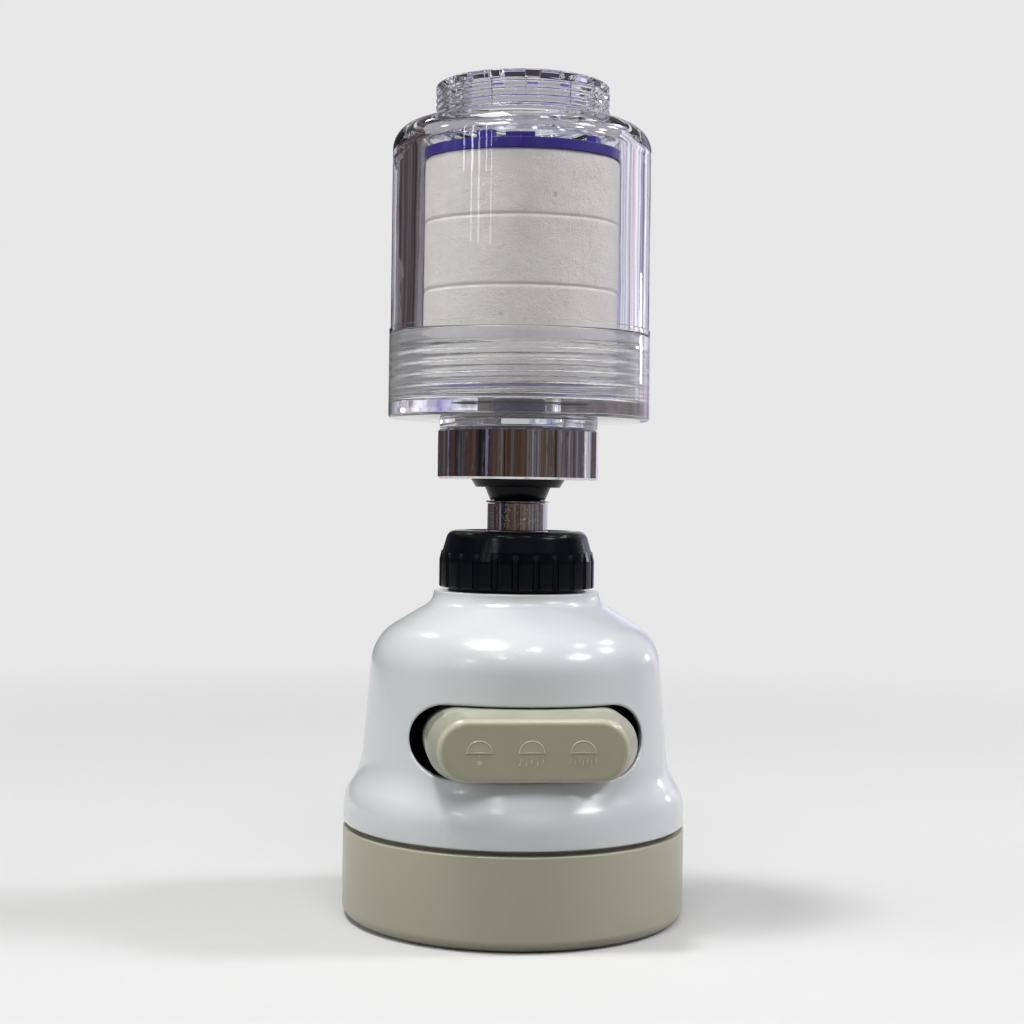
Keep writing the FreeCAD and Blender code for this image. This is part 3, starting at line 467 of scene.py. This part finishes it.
def paint_light_by_depth(material, stops):
    """Colour by depth in front of the axis, which paints light and shade: stops are pairs (depth in
    millimetres, colour).
    """
    tree = material.node_tree
    depth = add(tree, "ShaderNodeSeparateXYZ", {0: place_in(tree)}).outputs["Y"]
    first, last = stops[0][0], stops[-1][0]
    share = spread(tree, depth, -first / 1000, -last / 1000, 0.0, 1.0)
    shares = [((millimetres - first) / (last - first), color) for millimetres, color in stops]
    tree.links.new(blended(tree, share, shares), tree.nodes["Group"].inputs["Color"])
    return material


# The pad is one beige: its flanks are painted a little darker than the face as shade, and a painted highlight
# runs round the face's rounded edge.
face_tone, flank_shaded_tone, edge_highlight_tone = (0.45, 0.435, 0.3), (0.4, 0.4, 0.325), (0.6, 0.59, 0.46)
pad_beige = moulded("pad_beige_abs", face_tone, cloudiness=0.015, roughness=0.24, unevenness=0.02,
                    marks=0.08, Subsurface_Weight=0.3, Subsurface_Radius=(0.6, 0.6, 0.3),
                    Subsurface_Scale=0.002, Coat_Weight=0.3, Coat_Roughness=0.1)
paint_light_by_depth(pad_beige, [(24.4, flank_shaded_tone), (26.55, flank_shaded_tone), (26.9, edge_highlight_tone), (27.12, edge_highlight_tone),
                     (27.27, face_tone), (27.3, face_tone)])
pad = dress(make_pad(), pad_beige)
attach(pad, "selector")
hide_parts("selector_pad")


def raised_patch(outline, height):
    """Patch on the pad's face from an (n, 2) outline in millimetres about the face's middle: a rim 0.1 mm
    wide at the given height, and in it a floor that closes on its centre, sunk where the patch is wide."""
    centre = outline.mean(0)
    spans = np.linalg.norm(outline - centre, axis=1, keepdims=True)
    inwards = (outline - centre) / spans
    insets = np.minimum(np.array([0.06, 0.17, 0.24])[:, None, None], spans * 0.8)
    pulled, inner, floor = outline - inwards * insets
    sunk = height if spans.max() < 0.6 else height * 0.35
    rings = np.stack([outline, outline, pulled, inner, floor, centre + (floor - centre) * 0.5,
                      centre + (floor - centre) * 0.001]) / 1000
    lifts = np.array([-0.05, height * 0.6, height, height, sunk, sunk, sunk])[:, None] / 1000
    x, y, z = np.broadcast_arrays(rings[..., 0], -pad_face - lifts, pad_face_height + rings[..., 1])
    return np.stack([x, y, z], -1)


def pictograms():
    """Three spray heads as half ellipses, over one drop, a row of spaced drops and a row of fine drops."""
    sweep = np.linspace(0, math.pi, 17)
    dome = np.stack([2.0 * np.cos(sweep), 1.95 * np.sin(sweep)], 1)
    dome = np.concatenate([dome, np.stack([np.linspace(-2, 2, 9)[1:-1], np.zeros(7)], 1)])
    full = np.linspace(0, math.tau, 23, endpoint=False)
    drop = np.stack([np.cos(full), np.sin(full)], 1)
    middles = (-8.35, -0.47, 7.3)
    patches = [raised_patch(dome + [middle, -0.15], 0.14) for middle in middles]
    spaced = [(x, -1.35 - 0.4 * (i % 2), 0.13, 0.4) for i, x in enumerate(np.linspace(-1.7, 1.7, 5))]
    fine = [(x, -1.3 - 0.3 * (i % 2), 0.1, 0.5) for i, x in enumerate(np.linspace(-1.9, 1.9, 7))]
    jets = [[(0.0, -0.65, 0.1, 0.22), (0.0, -1.62, 0.42, 0.42)], spaced + [(-1.85, -1.95, 0.22, 0.22)],
            fine + [(1.25, -2.1, 0.22, 0.22)]]
    for middle, drops in zip(middles, jets):
        patches += [raised_patch(drop * [wide, tall] + [middle + x, z], 0.1) for x, z, wide, tall in drops]
    points, faces, start = [], [], 0
    for patch in patches:
        points.append(patch.reshape(-1, 3))
        faces.append(cells(patch.shape[0], patch.shape[1], False, True, first=start))
        start += len(points[-1])
    return mesh_object("selector_pictograms", np.concatenate(points), np.concatenate(faces), sharp=40)


marks_beige = moulded("pictogram_beige_abs", face_tone, cloudiness=0.03, roughness=0.2)
# Painted highlight: the pictograms turn lighter towards their raised tops.
paint_light_by_depth(marks_beige, [(27.3, face_tone), (27.34, (0.49, 0.475, 0.34)), (27.39, (0.58, 0.57, 0.44)),
                       (27.44, (0.64, 0.63, 0.5))])
marks = dress(pictograms(), marks_beige)
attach(marks, "selector")


# Collar: glossy black ABS nut, screwed on the core's thread, that holds the lower ball down.
# Twenty-four arched finger flutes are moulded in its band, open at the lower edge.
collar_flute_count = 24


def collar_flutes(r, z, t):
    """Each flute is a round-topped groove: the surface is no further out than axis - sqrt(radius^2 -
    across^2 - rise^2), where across runs along the band and rise is the height above the straight part."""
    band, outer_from = 0.01278, 0.0121
    radius, axis, straight_top = 0.00062, 0.0129, 0.0586
    sector = math.tau / collar_flute_count
    across = band * (t % sector - sector / 2)
    rise = np.maximum(z - straight_top, 0)
    room = radius ** 2 - across ** 2 - rise ** 2
    floor = np.where(room > 0, axis - np.sqrt(np.maximum(room, 0)), 1.0)
    return np.where(r > outer_from, np.minimum(r, floor), r), z


def divided(outline, step, radius=None):
    """Outline with its sides, or only those at a given radius, cut into equal lengths of up to step."""
    following = np.roll(outline, -1, 0)
    length = np.linalg.norm(following - outline, axis=1)
    if radius is not None:
        away = np.maximum(abs(outline[:, 0] - radius), abs(following[:, 0] - radius))
        length = np.where(away < 0.00005, length, 0)
    counts = np.maximum(1, np.ceil(length / step).astype(int))
    start = np.repeat(np.arange(len(outline)), counts)
    number = np.arange(len(start)) - np.repeat(np.cumsum(counts) - counts, counts)
    share = (number / counts[start])[:, None]
    return outline[start] * (1 - share) + following[start] * share


flute_bearings = np.radians([
    -7.5, -5.6, -3.9, -3.1, -2.75, -2.4, -1.9, -1.3, -0.65, 0, 0.65, 1.3, 1.9, 2.4, 2.75, 3.1, 3.9, 5.6])
flute_middles = (np.arange(collar_flute_count)[:, None] + 0.5) * math.tau / collar_flute_count
collar_outline = rounded([
    (11.3, 53.5), (12.78, 53.5, 0.2), (12.78, 57.9, 1.0), (12.45, 59.45), (12.25, 59.45), (11.3, 62.8, 1.6),
    (8.8, 62.8, 0.2), (7.9, 61.3), (10.3, 61.3), (10.3, 57.3), (11.3, 57.3)])
collar = turned("collar_dressed", divided(collar_outline, 0.0004), (flute_middles + flute_bearings).ravel(),
                collar_flutes)
dress(collar, black_gloss)
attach(collar, "collar")
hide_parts("collar")


# Stem: chromed brass tube, turned in one piece with the lower ball, lightly pitted where it shows.
# The black POM upper ball is pressed into its top.
def ball_arc(height, radius, low, high):
    """Points (radius, height) in millimetres along a ball's profile between two elevations in degrees."""
    angle = np.radians(np.linspace(low, high, 28))
    return np.stack([radius * np.cos(angle), height + radius * np.sin(angle)], 1)


def sharp_outline(*runs):
    """Closed outline in metres from runs of (radius, height) in millimetres."""
    return np.concatenate([np.atleast_2d(run) for run in runs]) / 1000


chrome = metal("pitted_chrome", (0.66, 0.64, 0.63), roughness=0.08, pits=0.5, pit_size=0.0003,
               depth=0.000008)
stem = turned("ball_stem_dressed", sharp_outline(
    ball_arc(56.5, 8.0, -67.97, 51.77),
    [(4.95, 67.2), (5.0, 67.3), (5.12, 67.32), (5.2, 67.4), (5.2, 67.58), (5.08, 67.7), (3.9, 67.7),
     (3.9, 61.7), (3.0, 61.7)]), sharp=20)
dress(stem, chrome)
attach(stem, "stem")
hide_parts("ball_stem")
upper_ball = turned("upper_ball_dressed", sharp_outline(
    [(2.6, 61.75), (3.85, 61.75), (3.85, 67.75), (4.45, 67.75), (4.56, 67.86), (5.4, 69.9)],
    ball_arc(74.6, 6.6, -35.1, 58.05), [(2.6, 80.2)]))
dress(upper_ball, black_pom)
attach(upper_ball, "stem")
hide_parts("upper_ball")


# Upper seat and swivel nut: the seat is a black POM ring whose flange shows below the nut. The nut is
# chrome-plated, with sixteen hollow flutes, and turns on the seat to clamp it to the filter's outlet.
upper_seat = turned("upper_ball_seat_dressed", rounded([
    (6.4, 69.9), (6.95, 69.9, 0.15), (7.68, 71.1, 0.15), (7.68, 72.7), (9.8, 72.7), (9.8, 74.8),
    (6.66, 74.8), (6.64, 74.0), (6.52, 73.2), (6.39, 72.7), (6.25, 72.25)]))
dress(upper_seat, black_pom)
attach(upper_seat, "upper_seat")
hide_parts("upper_ball_seat")
nut_radius = 0.01327
nut_flute_count = 16


def nut_flutes(r, z, t):
    """A flute is part of a cylinder whose axis stands c from the nut's: at an angle a from its middle the
    surface is at c cos a - sqrt(radius^2 - c^2 sin^2 a), wherever that is less than the nut's radius. On
    the chamfers it lies further in, by 0.6 of what they take off."""
    outer_from, radius, axis = 0.0122, 0.0077, 0.02042
    sector = math.tau / nut_flute_count
    angle = t % sector - sector / 2
    room = np.maximum(radius ** 2 - (axis * np.sin(angle)) ** 2, 0)
    hollow = axis * np.cos(angle) - np.sqrt(room)
    return np.where(r > outer_from, np.minimum(r, hollow - (nut_radius - r) * 0.6), r), z


nut_steps = np.radians([
    -11.25, -10.6, -10.1, -9.94, -9.6, -9, -8, -6.5, -5, -3.3, -1.6, 0, 1.6, 3.3, 5, 6.5, 8, 9, 9.6, 9.94,
    10.1, 10.6])
nut_sector = math.tau / nut_flute_count
nut_bearings = (np.arange(nut_flute_count)[:, None] * nut_sector + nut_sector / 2 + nut_steps).ravel()
polished = metal("polished_chrome", (0.66, 0.65, 0.67), roughness=0.07, pits=0.3, pit_size=0.0006,
                 stretch=0.15)
nut_outline = rounded([
    (7.78, 71.15), (12.92, 71.15), (13.27, 71.5), (13.27, 79.0), (12.92, 79.35), (11.05, 79.35),
    (11.05, 72.65), (7.78, 72.65)])
nut = turned("nut_dressed", divided(nut_outline, 0.0003, radius=nut_radius), nut_bearings, nut_flutes,
             sharp=25)
dress(nut, polished)
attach(nut, "end_cap")
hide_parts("nut")


# End cap: the clear cup that closes the filter, with its threaded outlet boss, moulded in one piece.
# A coarse thread inside its wall takes the canister's skirt.
def make_clear_surface():
    """Group for clear plastic: a drifting faint tint, fine wiping marks and the slow waves of a moulding."""
    tree, given = surface_group("clear_surface", Color=(1, 1, 1, 1), Roughness=0.01, Waves=1.0, Marks=0.5)
    place = place_in(tree)
    cloud = noise(tree, place, 60.0, 3.0)
    color = scaled(tree, given["Color"], swing(tree, cloud, 0.015, 0.985))
    streaks = noise(tree, mapped(tree, place, Scale=(1.0, 1.0, 0.12)), 1400.0, 3.0)
    wiped = spread(tree, streaks, 0.64, 0.74, 0.0, 0.12)
    roughness = maths(tree, "MULTIPLY_ADD", wiped, given["Marks"], given["Roughness"])
    height = maths(tree, "MULTIPLY", noise(tree, place, 110.0, 1.0), given["Waves"])
    return give_out(tree, color, roughness, height)


clear_surface = make_clear_surface()


def clear(name, color, marks=0.3, waves=1.0, transmission=1.0):
    """Clear plastic, through which the light that falls on matt surfaces passes straight."""
    values = {"Color": (*color, 1), "Roughness": 0.0, "Marks": marks, "Waves": waves}
    material = finished(name, clear_surface, values, 0.00006, Transmission_Weight=transmission, IOR=1.5)
    tree = material.node_tree
    straight = add(tree, "ShaderNodeBsdfTransparent", {"Color": (1, 1, 1, 1)}).outputs[0]
    path = add(tree, "ShaderNodeLightPath").outputs
    share = maths(tree, "MAXIMUM", path["Is Shadow Ray"], path["Is Diffuse Ray"])
    solid = tree.nodes["Principled BSDF"].outputs[0]
    mixed = add(tree, "ShaderNodeMixShader", {0: share, 1: solid, 2: straight})
    tree.links.new(mixed.outputs[0], tree.nodes["Material Output"].inputs["Surface"])
    return material


def thread_depth(z, t, low, high, pitch):
    """How far a right-hand thread stands up, 0 to 1: a cosine ridge along z / pitch - t / full turn,
    widened and clipped, that fades in over half a pitch at each end."""
    flat = 0.08
    ridge = np.cos(math.tau * (z / pitch) - t) * 0.5 + 0.5
    shape = np.clip((ridge - flat) / (1 - 2 * flat), 0, 1)
    fade = np.clip((z - low) / (pitch / 2), 0, 1) * np.clip((high - z) / (pitch / 2), 0, 1)
    return shape * fade


def on_wall(r, radius):
    """Where the surface lies on the cylinder of this radius."""
    return abs(r - radius) < 0.00003


coarse_pitch, coarse_depth = 0.0018, 0.0005
cap_crest = 0.01965


def cap_thread(r, z, t):
    """The bore stays at the thread's crest, and the grooves between the turns are cut deeper by the coarse
    thread's depth."""
    groove = (1 - thread_depth(z, t + math.pi, 0.0842, 0.0924, coarse_pitch)) * (z > 0.0844) * (z < 0.0922)
    return np.where(on_wall(r, cap_crest), r + coarse_depth * groove, r), z


cap_outline = rounded([
    (4.6, 83.55), (4.6, 81.75), (7.4, 81.75), (7.4, 75.7), (10.95, 75.7, 0.3), (10.95, 79.45),
    (13.0, 79.45, 0.2), (13.0, 80.95, 0.3), (21.48, 80.95, 0.6), (21.48, 94.55, 0.2), (20.9, 94.55),
    (20.9, 92.65), (19.65, 92.65), (19.65, 83.55, 0.6)])
end_cap = turned("end_cap_dressed", divided(cap_outline, 0.00014, radius=cap_crest), reshape=cap_thread,
                 sharp=50)
dress(end_cap, clear("clear_plastic", (0.985, 0.985, 1.0), waves=0.3, transmission=0.9))
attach(end_cap, "end_cap")
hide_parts("end_cap")


# Cartridge: a sleeve of wound white cotton between two indigo plastic discs; the upper disc has
# four upright spacer lugs and four low bumps on its rim.
def sleeve_bands(r, z, t):
    """The outer wall sinks by 0.2 mm * exp(-(distance / 0.25 mm)^2) at each joint between bands, and swells
    and wavers by a few hundredths of a millimetre as soft winding does."""
    joints = np.array([0.0904, 0.10135, 0.11225])
    sink = np.exp(-((z[..., None] - joints) / 0.00025) ** 2).sum(-1)
    waver = np.sin(3 * t + 90 * z) + np.sin(7 * t - 210 * z + 1.3) + 0.6 * np.sin(13 * t + 400 * z)
    ends = np.exp(-np.minimum(z - 0.08595, 0.12255 - z) / 0.0004)
    return np.where(r > 0.0155, r - 0.0002 * sink + 0.00003 * waver - 0.00025 * ends, r), z


def make_cotton():
    """Material of wound cotton: short fibres in all directions, soft pits and faint grey specks."""
    material = bpy.data.materials.new("wound_cotton")
    material.use_nodes = True
    tree = material.node_tree
    shader = tree.nodes["Principled BSDF"]
    place = place_in(tree)
    fibre = noise(tree, place, 1500.0, 6.0, Roughness=0.7, Distortion=2.0)
    lumps = noise(tree, place, 260.0, 5.0, Roughness=0.6)
    tufts = add(tree, "ShaderNodeTexVoronoi", {"Vector": place, "Scale": 520.0}, feature="SMOOTH_F1")
    specks = spread(tree, tufts.outputs["Distance"], 0.0, 0.14, 0.75, 1.0)
    tone = maths(tree, "MULTIPLY", swing(tree, lumps, 0.12, 1.0), specks)
    tree.links.new(scaled(tree, (0.97, 0.94, 0.905), tone), shader.inputs["Base Color"])
    shader.inputs["Roughness"].default_value = 0.95
    shader.inputs["Sheen Weight"].default_value = 0.3
    height = maths(tree, "MULTIPLY_ADD", fibre, 0.5, lumps)
    bump = add(tree, "ShaderNodeBump", {"Strength": 1.0, "Distance": 0.00035, "Height": height})
    tree.links.new(bump.outputs[0], shader.inputs["Normal"])
    return material


sleeve_outline = rounded([(6.0, 85.95), (16.0, 85.95, 0.3), (16.0, 122.55, 0.3), (6.0, 122.55)])
sleeve = turned("cotton_sleeve_dressed", divided(sleeve_outline, 0.00012, radius=0.016),
                reshape=sleeve_bands, sharp=60)
dress(sleeve, make_cotton())
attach(sleeve, "end_cap")
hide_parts("cotton_sleeve")
indigo = moulded("indigo_plastic", (0.05, 0.032, 0.3), cloudiness=0.12, roughness=0.25)
for name in ("cartridge_lower_cap", "cartridge_upper_cap"):
    dress(nodes[name], indigo)


# Canister's seal: a translucent silicone ring in the groove above the thread, squeezed by the cap's lip.
seal_clear = moulded("clear_silicone", (0.9, 0.9, 0.94), roughness=0.12, marks=0.1,
                     Transmission_Weight=0.92, IOR=1.41)
seal = turned("canister_seal_dressed", rounded([
    (19.0, 92.75, 0.76), (20.7, 92.75, 0.76), (20.7, 94.55, 0.76), (19.0, 94.55, 0.76)]))
dress(seal, seal_clear)
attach(seal, "canister_seal")
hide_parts("canister_seal")


# Canister: the thick clear jar, moulded neck up, with a fine thread on the neck, fourteen tapered pockets
# in its rim and a coarse thread on the skirt that screws into the end cap.
neck_crest, skirt_crest = 0.01428, 0.01955
pocket_count = 14


def canister_shape(r, z, t):
    """The grooves of the neck's thread and the skirt's are cut below their crests, and the rim has pockets
    behind an outer lip: floor = top - depth * clip((wide - |angle|) / (wide - narrow), 0, 1)."""
    neck = on_wall(r, neck_crest) * (z > 0.1299) * (z < 0.1342)
    neck_cut = 0.00042 * (1 - thread_depth(z, t, 0.1296, 0.1344, 0.00115)) * neck
    skirt = on_wall(r, skirt_crest) * (z > 0.0851) * (z < 0.0923)
    skirt_cut = coarse_depth * (1 - thread_depth(z, t, 0.0849, 0.0925, coarse_pitch)) * skirt
    sector = math.tau / pocket_count
    angle = abs((t + sector / 2) % sector - sector / 2)
    wide, narrow = math.radians(5.64), math.radians(3.83)
    top, depth, lip = 0.13545, 0.0012, 0.01374
    floor = top - depth * np.clip((wide - angle) / (wide - narrow), 0, 1)
    return r - neck_cut - skirt_cut, np.where(r < lip, np.minimum(z, floor), z)


pocket_steps = np.radians([
    -12.857, -11, -9, -7.3, -5.64, -4.7, -3.83, -2, 0, 2, 3.83, 4.7, 5.64, 7.3, 9, 11])
canister_bearings = (np.arange(pocket_count)[:, None] * math.tau / pocket_count + pocket_steps).ravel()
canister_outline = rounded([
    (11.6, 135.45, 0.15), (13.735, 135.45), (13.745, 135.45), (14.28, 135.45, 0.25), (14.28, 129.55, 0.3),
    (21.28, 128.15, 4.0), (21.28, 95.65), (21.48, 95.65, 0.2), (21.48, 94.65, 0.2), (18.95, 94.65),
    (18.95, 92.65), (19.55, 92.65), (19.55, 84.65, 0.3), (17.58, 84.65, 0.3), (17.28, 126.65, 2.0),
    (11.6, 126.65)])
canister_outline = divided(divided(canister_outline, 0.0001, radius=neck_crest), 0.00014, radius=skirt_crest)
canister = turned("canister_dressed", canister_outline, canister_bearings, canister_shape, sharp=50)
dress(canister, clear("clear_jar_plastic", (0.99, 0.99, 1.0), marks=0.5, waves=0.5))
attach(canister, "canister")
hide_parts("canister")


# Studio: a pale floor that curves up into a backdrop, two lamps overhead, a soft lamp in front, a fill on
# each side, and the camera. Only reflections and clear pieces also show a tent of dull stripes, which is
# the dim room, tubes high on its wall, a grey roof and small bright panels under the roof.
def make_floor():
    """Sheet that is flat for 1 m behind the filter and then rises on a quarter circle of radius 0.8 m."""
    angle = np.linspace(0, math.pi / 2, 24)
    depth = np.concatenate([[-3.0, 1.0], 1.0 + 0.8 * np.sin(angle[1:]), [1.8]])
    height = np.concatenate([[0.0, 0.0], 0.8 - 0.8 * np.cos(angle[1:]), [3.5]]) - 0.0001
    x, y = np.meshgrid([-4.0, 4.0], depth)
    points = np.stack([x, y, np.repeat(height[:, None], 2, 1)], -1).reshape(-1, 3)
    return mesh_object("studio_floor", points, cells(len(depth), 2, False, False))


def seen_share(tree):
    """1 for a ray of the camera, or one that reached it through mirrors and clear pieces alone, else 0."""
    path = add(tree, "ShaderNodeLightPath").outputs
    seen = maths(tree, "MAXIMUM", path["Is Camera Ray"], path["Is Glossy Ray"])
    seen = maths(tree, "MAXIMUM", seen, path["Is Transmission Ray"])
    return maths(tree, "MULTIPLY", seen, maths(tree, "LESS_THAN", path["Diffuse Depth"], 0.5))


def make_floor_material():
    """Pale matt floor that throws 0.3 of its light back at the filter. From 0.1 m to 0.45 m away from the
    filter it fades, where it is seen, into an even glow of the same tone."""
    material = moulded("studio_pale", (0.72, 0.72, 0.72), cloudiness=0.01, roughness=0.7, marks=0.0)
    tree = material.node_tree
    shader = tree.nodes["Principled BSDF"]
    seen = seen_share(tree)
    tone = shader.inputs["Base Color"].links[0].from_socket
    tree.links.new(scaled(tree, tone, spread(tree, seen, 0.0, 1.0, 0.3, 1.0)), shader.inputs["Base Color"])
    distance = add(tree, "ShaderNodeVectorMath", {0: place_in(tree)}, operation="LENGTH").outputs["Value"]
    share = maths(tree, "MULTIPLY", seen, spread(tree, distance, 0.1, 0.45, 0.0, 1.0, "SMOOTHSTEP"))
    glow = add(tree, "ShaderNodeEmission", {"Color": (0.8, 0.8, 0.8, 1), "Strength": 1.0}).outputs[0]
    mixed = add(tree, "ShaderNodeMixShader", {0: share, 1: shader.outputs[0], 2: glow})
    tree.links.new(mixed.outputs[0], tree.nodes["Material Output"].inputs["Surface"])
    return material


floor = dress(make_floor(), make_floor_material())
behind_clear = 0.4


def only_reflected(made):
    """Keep a piece of the studio out of the camera's view and out of the light on matt surfaces."""
    made.visible_camera = False
    made.visible_diffuse = False
    made.visible_shadow = False


def glow_material(name, color, strength, through=None):
    """Material that glows with its colour where it is seen, and with an even light for matt surfaces behind
    clear plastic. The colour is a value, or a function that makes a socket in the material's tree. through
    is the strength seen through clear pieces, where that differs."""
    material = bpy.data.materials.new(name)
    material.use_nodes = True
    tree = material.node_tree
    seen = seen_share(tree)
    if through is not None:
        refracted = add(tree, "ShaderNodeLightPath").outputs["Is Transmission Ray"]
        strength = spread(tree, refracted, 0.0, 1.0, strength, through)
    color = color(tree) if callable(color) else color
    shown = add(tree, "ShaderNodeEmission", {"Color": color, "Strength": strength}).outputs[0]
    even = add(tree, "ShaderNodeEmission", {"Color": (1, 1, 1, 1), "Strength": behind_clear}).outputs[0]
    mixed = add(tree, "ShaderNodeMixShader", {0: seen, 1: even, 2: shown})
    tree.links.new(mixed.outputs[0], tree.nodes["Material Output"].inputs["Surface"])
    return material


def arc_wall(name, first, last, low, high, radius=0.9):
    """Part of an upright round wall about the filter, between two bearings in degrees and two heights."""
    bearing = np.radians(np.linspace(first, last, max(2, int(abs(last - first)))))
    height = np.array([[low], [high]])
    x, y, z = np.broadcast_arrays(radius * np.sin(bearing), -radius * np.cos(bearing), height)
    points = np.stack([x, y, z], -1).reshape(-1, 3)
    return mesh_object(name, points, cells(2, len(bearing), False, False))


def tent_stripes(tree):
    """Colour by bearing from the front in degrees, blended from stop to stop, and uneven as in soft folds."""
    plum, soot, brown = (0.085, 0.07, 0.076), (0.022, 0.02, 0.024), (0.07, 0.042, 0.03)
    taupe, rust, violet = (0.13, 0.11, 0.1), (0.1, 0.05, 0.045), (0.34, 0.33, 0.5)
    lavender, ice, rose = (0.2, 0.185, 0.23), (0.62, 0.68, 0.8), (0.68, 0.56, 0.64)
    pale, dusk = (0.8, 0.8, 0.88), (0.22, 0.19, 0.42)
    stripes = [
        (-178, plum), (-112, plum), (-100, soot), (-86, rust), (-81, soot), (-76, violet), (-71, soot),
        (-50, soot), (-44, brown), (-30, brown), (-16, taupe), (-11, rust), (-6, brown), (2, brown),
        (5, taupe), (22, taupe), (27, brown), (36, taupe), (54, lavender), (60, taupe), (80, lavender),
        (102, taupe), (118, ice), (126, rose), (140, pale), (150, dusk), (160, pale), (172, dusk)]
    place = place_in(tree)
    quarter = mapped(tree, place, Rotation=(0, 0, math.pi / 2))
    bearing = add(tree, "ShaderNodeTexGradient", {"Vector": quarter}, gradient_type="RADIAL").outputs["Fac"]
    color = blended(tree, bearing, [(angle / 360 + 0.5, color) for angle, color in stripes])
    folds = noise(tree, mapped(tree, place, Scale=(16.0, 16.0, 3.0)), 1.0, 3.0)
    return scaled(tree, color, spread(tree, folds, 0.35, 0.65, 0.35, 1.65))


only_reflected(dress(arc_wall("tent", -177, 168, 0.0005, 0.5),
                     glow_material("tent_stripes", tent_stripes, 1.0)))
only_reflected(dress(arc_wall("tent_back_band", 168, 183, 0.31, 0.44),
                     glow_material("tent_back", (0.05, 0.045, 0.055, 1), 1.0)))
tube_white = glow_material("tube_white", (0.93, 0.96, 1, 1), 8.0)
for number, first in enumerate((-59, -50.5, -38.5)):
    only_reflected(dress(arc_wall(f"tube_{number}", first, first + 1.3, 0.31, 0.5, radius=0.88), tube_white))
only_reflected(dress(arc_wall("bright_opening", 123, 127.5, 0.14, 0.22, radius=0.88), tube_white))


def panels(name, places, height):
    """Level rectangles at one height, each given by its middle x and y, its width and its depth."""
    place = np.array(places)[:, None]
    points = place[..., :2] + np.array([[-1, -1], [1, -1], [1, 1], [-1, 1]]) * place[..., 2:] / 2
    points = np.concatenate([points, np.full(points.shape[:2] + (1,), height)], -1).reshape(-1, 3)
    return mesh_object(name, points, np.arange(len(points)).reshape(-1, 4))


only_reflected(dress(panels("roof", [(0, 0, 1.9, 1.9)], 0.56),
                     glow_material("roof_grey", (0.37, 0.36, 0.39, 1), 1.0)))
ceiling_panels = panels("ceiling_panels", [
    (-0.165, -0.14, 0.17, 0.2), (0.53, -0.39, 0.22, 0.22), (-0.33, 0.31, 0.07, 0.09),
    (0.09, -0.27, 0.05, 0.1), (0.34, -0.08, 0.06, 0.09), (0.49, 0.16, 0.09, 0.1), (0.64, -0.01, 0.14, 0.14),
    (-0.17, -0.48, 0.05, 0.13), (-0.57, -0.56, 0.07, 0.18)], 0.54)
only_reflected(dress(ceiling_panels, glow_material("panel_white", (1, 1, 1, 1), 13.0, through=2.5)))


def lamp(name, place, target_height, size, power, color=(1, 1, 1)):
    """Rectangular area lamp that points at a height on the axis and isn't mirrored."""
    light = bpy.data.lights.new(name, "AREA")
    light.shape = "RECTANGLE"
    light.size, light.size_y = size
    light.energy = power
    light.color = color
    made = bpy.data.objects.new(name, light)
    bpy.context.scene.collection.objects.link(made)
    away = np.array(place, float) - (0, 0, target_height)
    away /= np.linalg.norm(away)
    side = np.cross((0, 1, 0) if abs(away[2]) > 0.95 else (0, 0, 1), away)
    side /= np.linalg.norm(side)
    axes = np.stack([side, np.cross(away, side), away], 1)
    made.matrix_world = Matrix(np.block([[axes, np.array(place)[:, None]], [0, 0, 0, 1]]).tolist())
    made.visible_glossy = False
    made.visible_transmission = False


lamp("left_lamp", (-0.27, -0.02, 0.97), 0.04, (0.12, 0.12), 4.3, (1.0, 1.0, 0.98))
lamp("right_lamp", (0.7, -0.03, 0.64), 0.04, (0.16, 0.16), 3.4, (0.98, 0.97, 1.0))
lamp("front_soft", (-0.05, -0.5, 0.88), 0.05, (0.7, 0.4), 3.9)
lamp("left_fill", (-0.92, -0.05, 0.3), 0.06, (0.6, 0.5), 3.0, (0.99, 1.0, 0.99))
lamp("right_fill", (0.92, -0.25, 0.3), 0.06, (0.6, 0.5), 1.6, (0.98, 0.96, 1.0))

world = bpy.data.worlds.new("studio_light")
bpy.context.scene.world = world
world.use_nodes = True
sky = world.node_tree
on_object, in_view = 0.13, 0.8
background = sky.nodes["Background"].inputs
sky.links.new(spread(sky, seen_share(sky), 0.0, 1.0, on_object, in_view), background["Strength"])
background["Color"].default_value = (1, 1, 1, 1)

sensor_width = 36.0
focal_pixels, frame_pixels = 1730, 1024
camera_data = bpy.data.cameras.new("camera")
camera_data.sensor_width = sensor_width
camera_data.lens = sensor_width * focal_pixels / frame_pixels
camera = bpy.data.objects.new("camera", camera_data)
bpy.context.scene.collection.objects.link(camera)
bearing, distance, eye = math.radians(-6.6), 0.2855, 0.06862
yaw, pitch, roll = bearing + math.radians(0.18), math.radians(90 - 0.563), math.radians(0.8)
turn = Matrix.Rotation(yaw, 4, "Z") @ Matrix.Rotation(pitch, 4, "X") @ Matrix.Rotation(roll, 4, "Z")
turn.translation = (distance * math.sin(bearing), -distance * math.cos(bearing), eye)
camera.matrix_world = turn
bpy.context.scene.camera = camera
bpy.context.scene.view_settings.view_transform = "Standard"
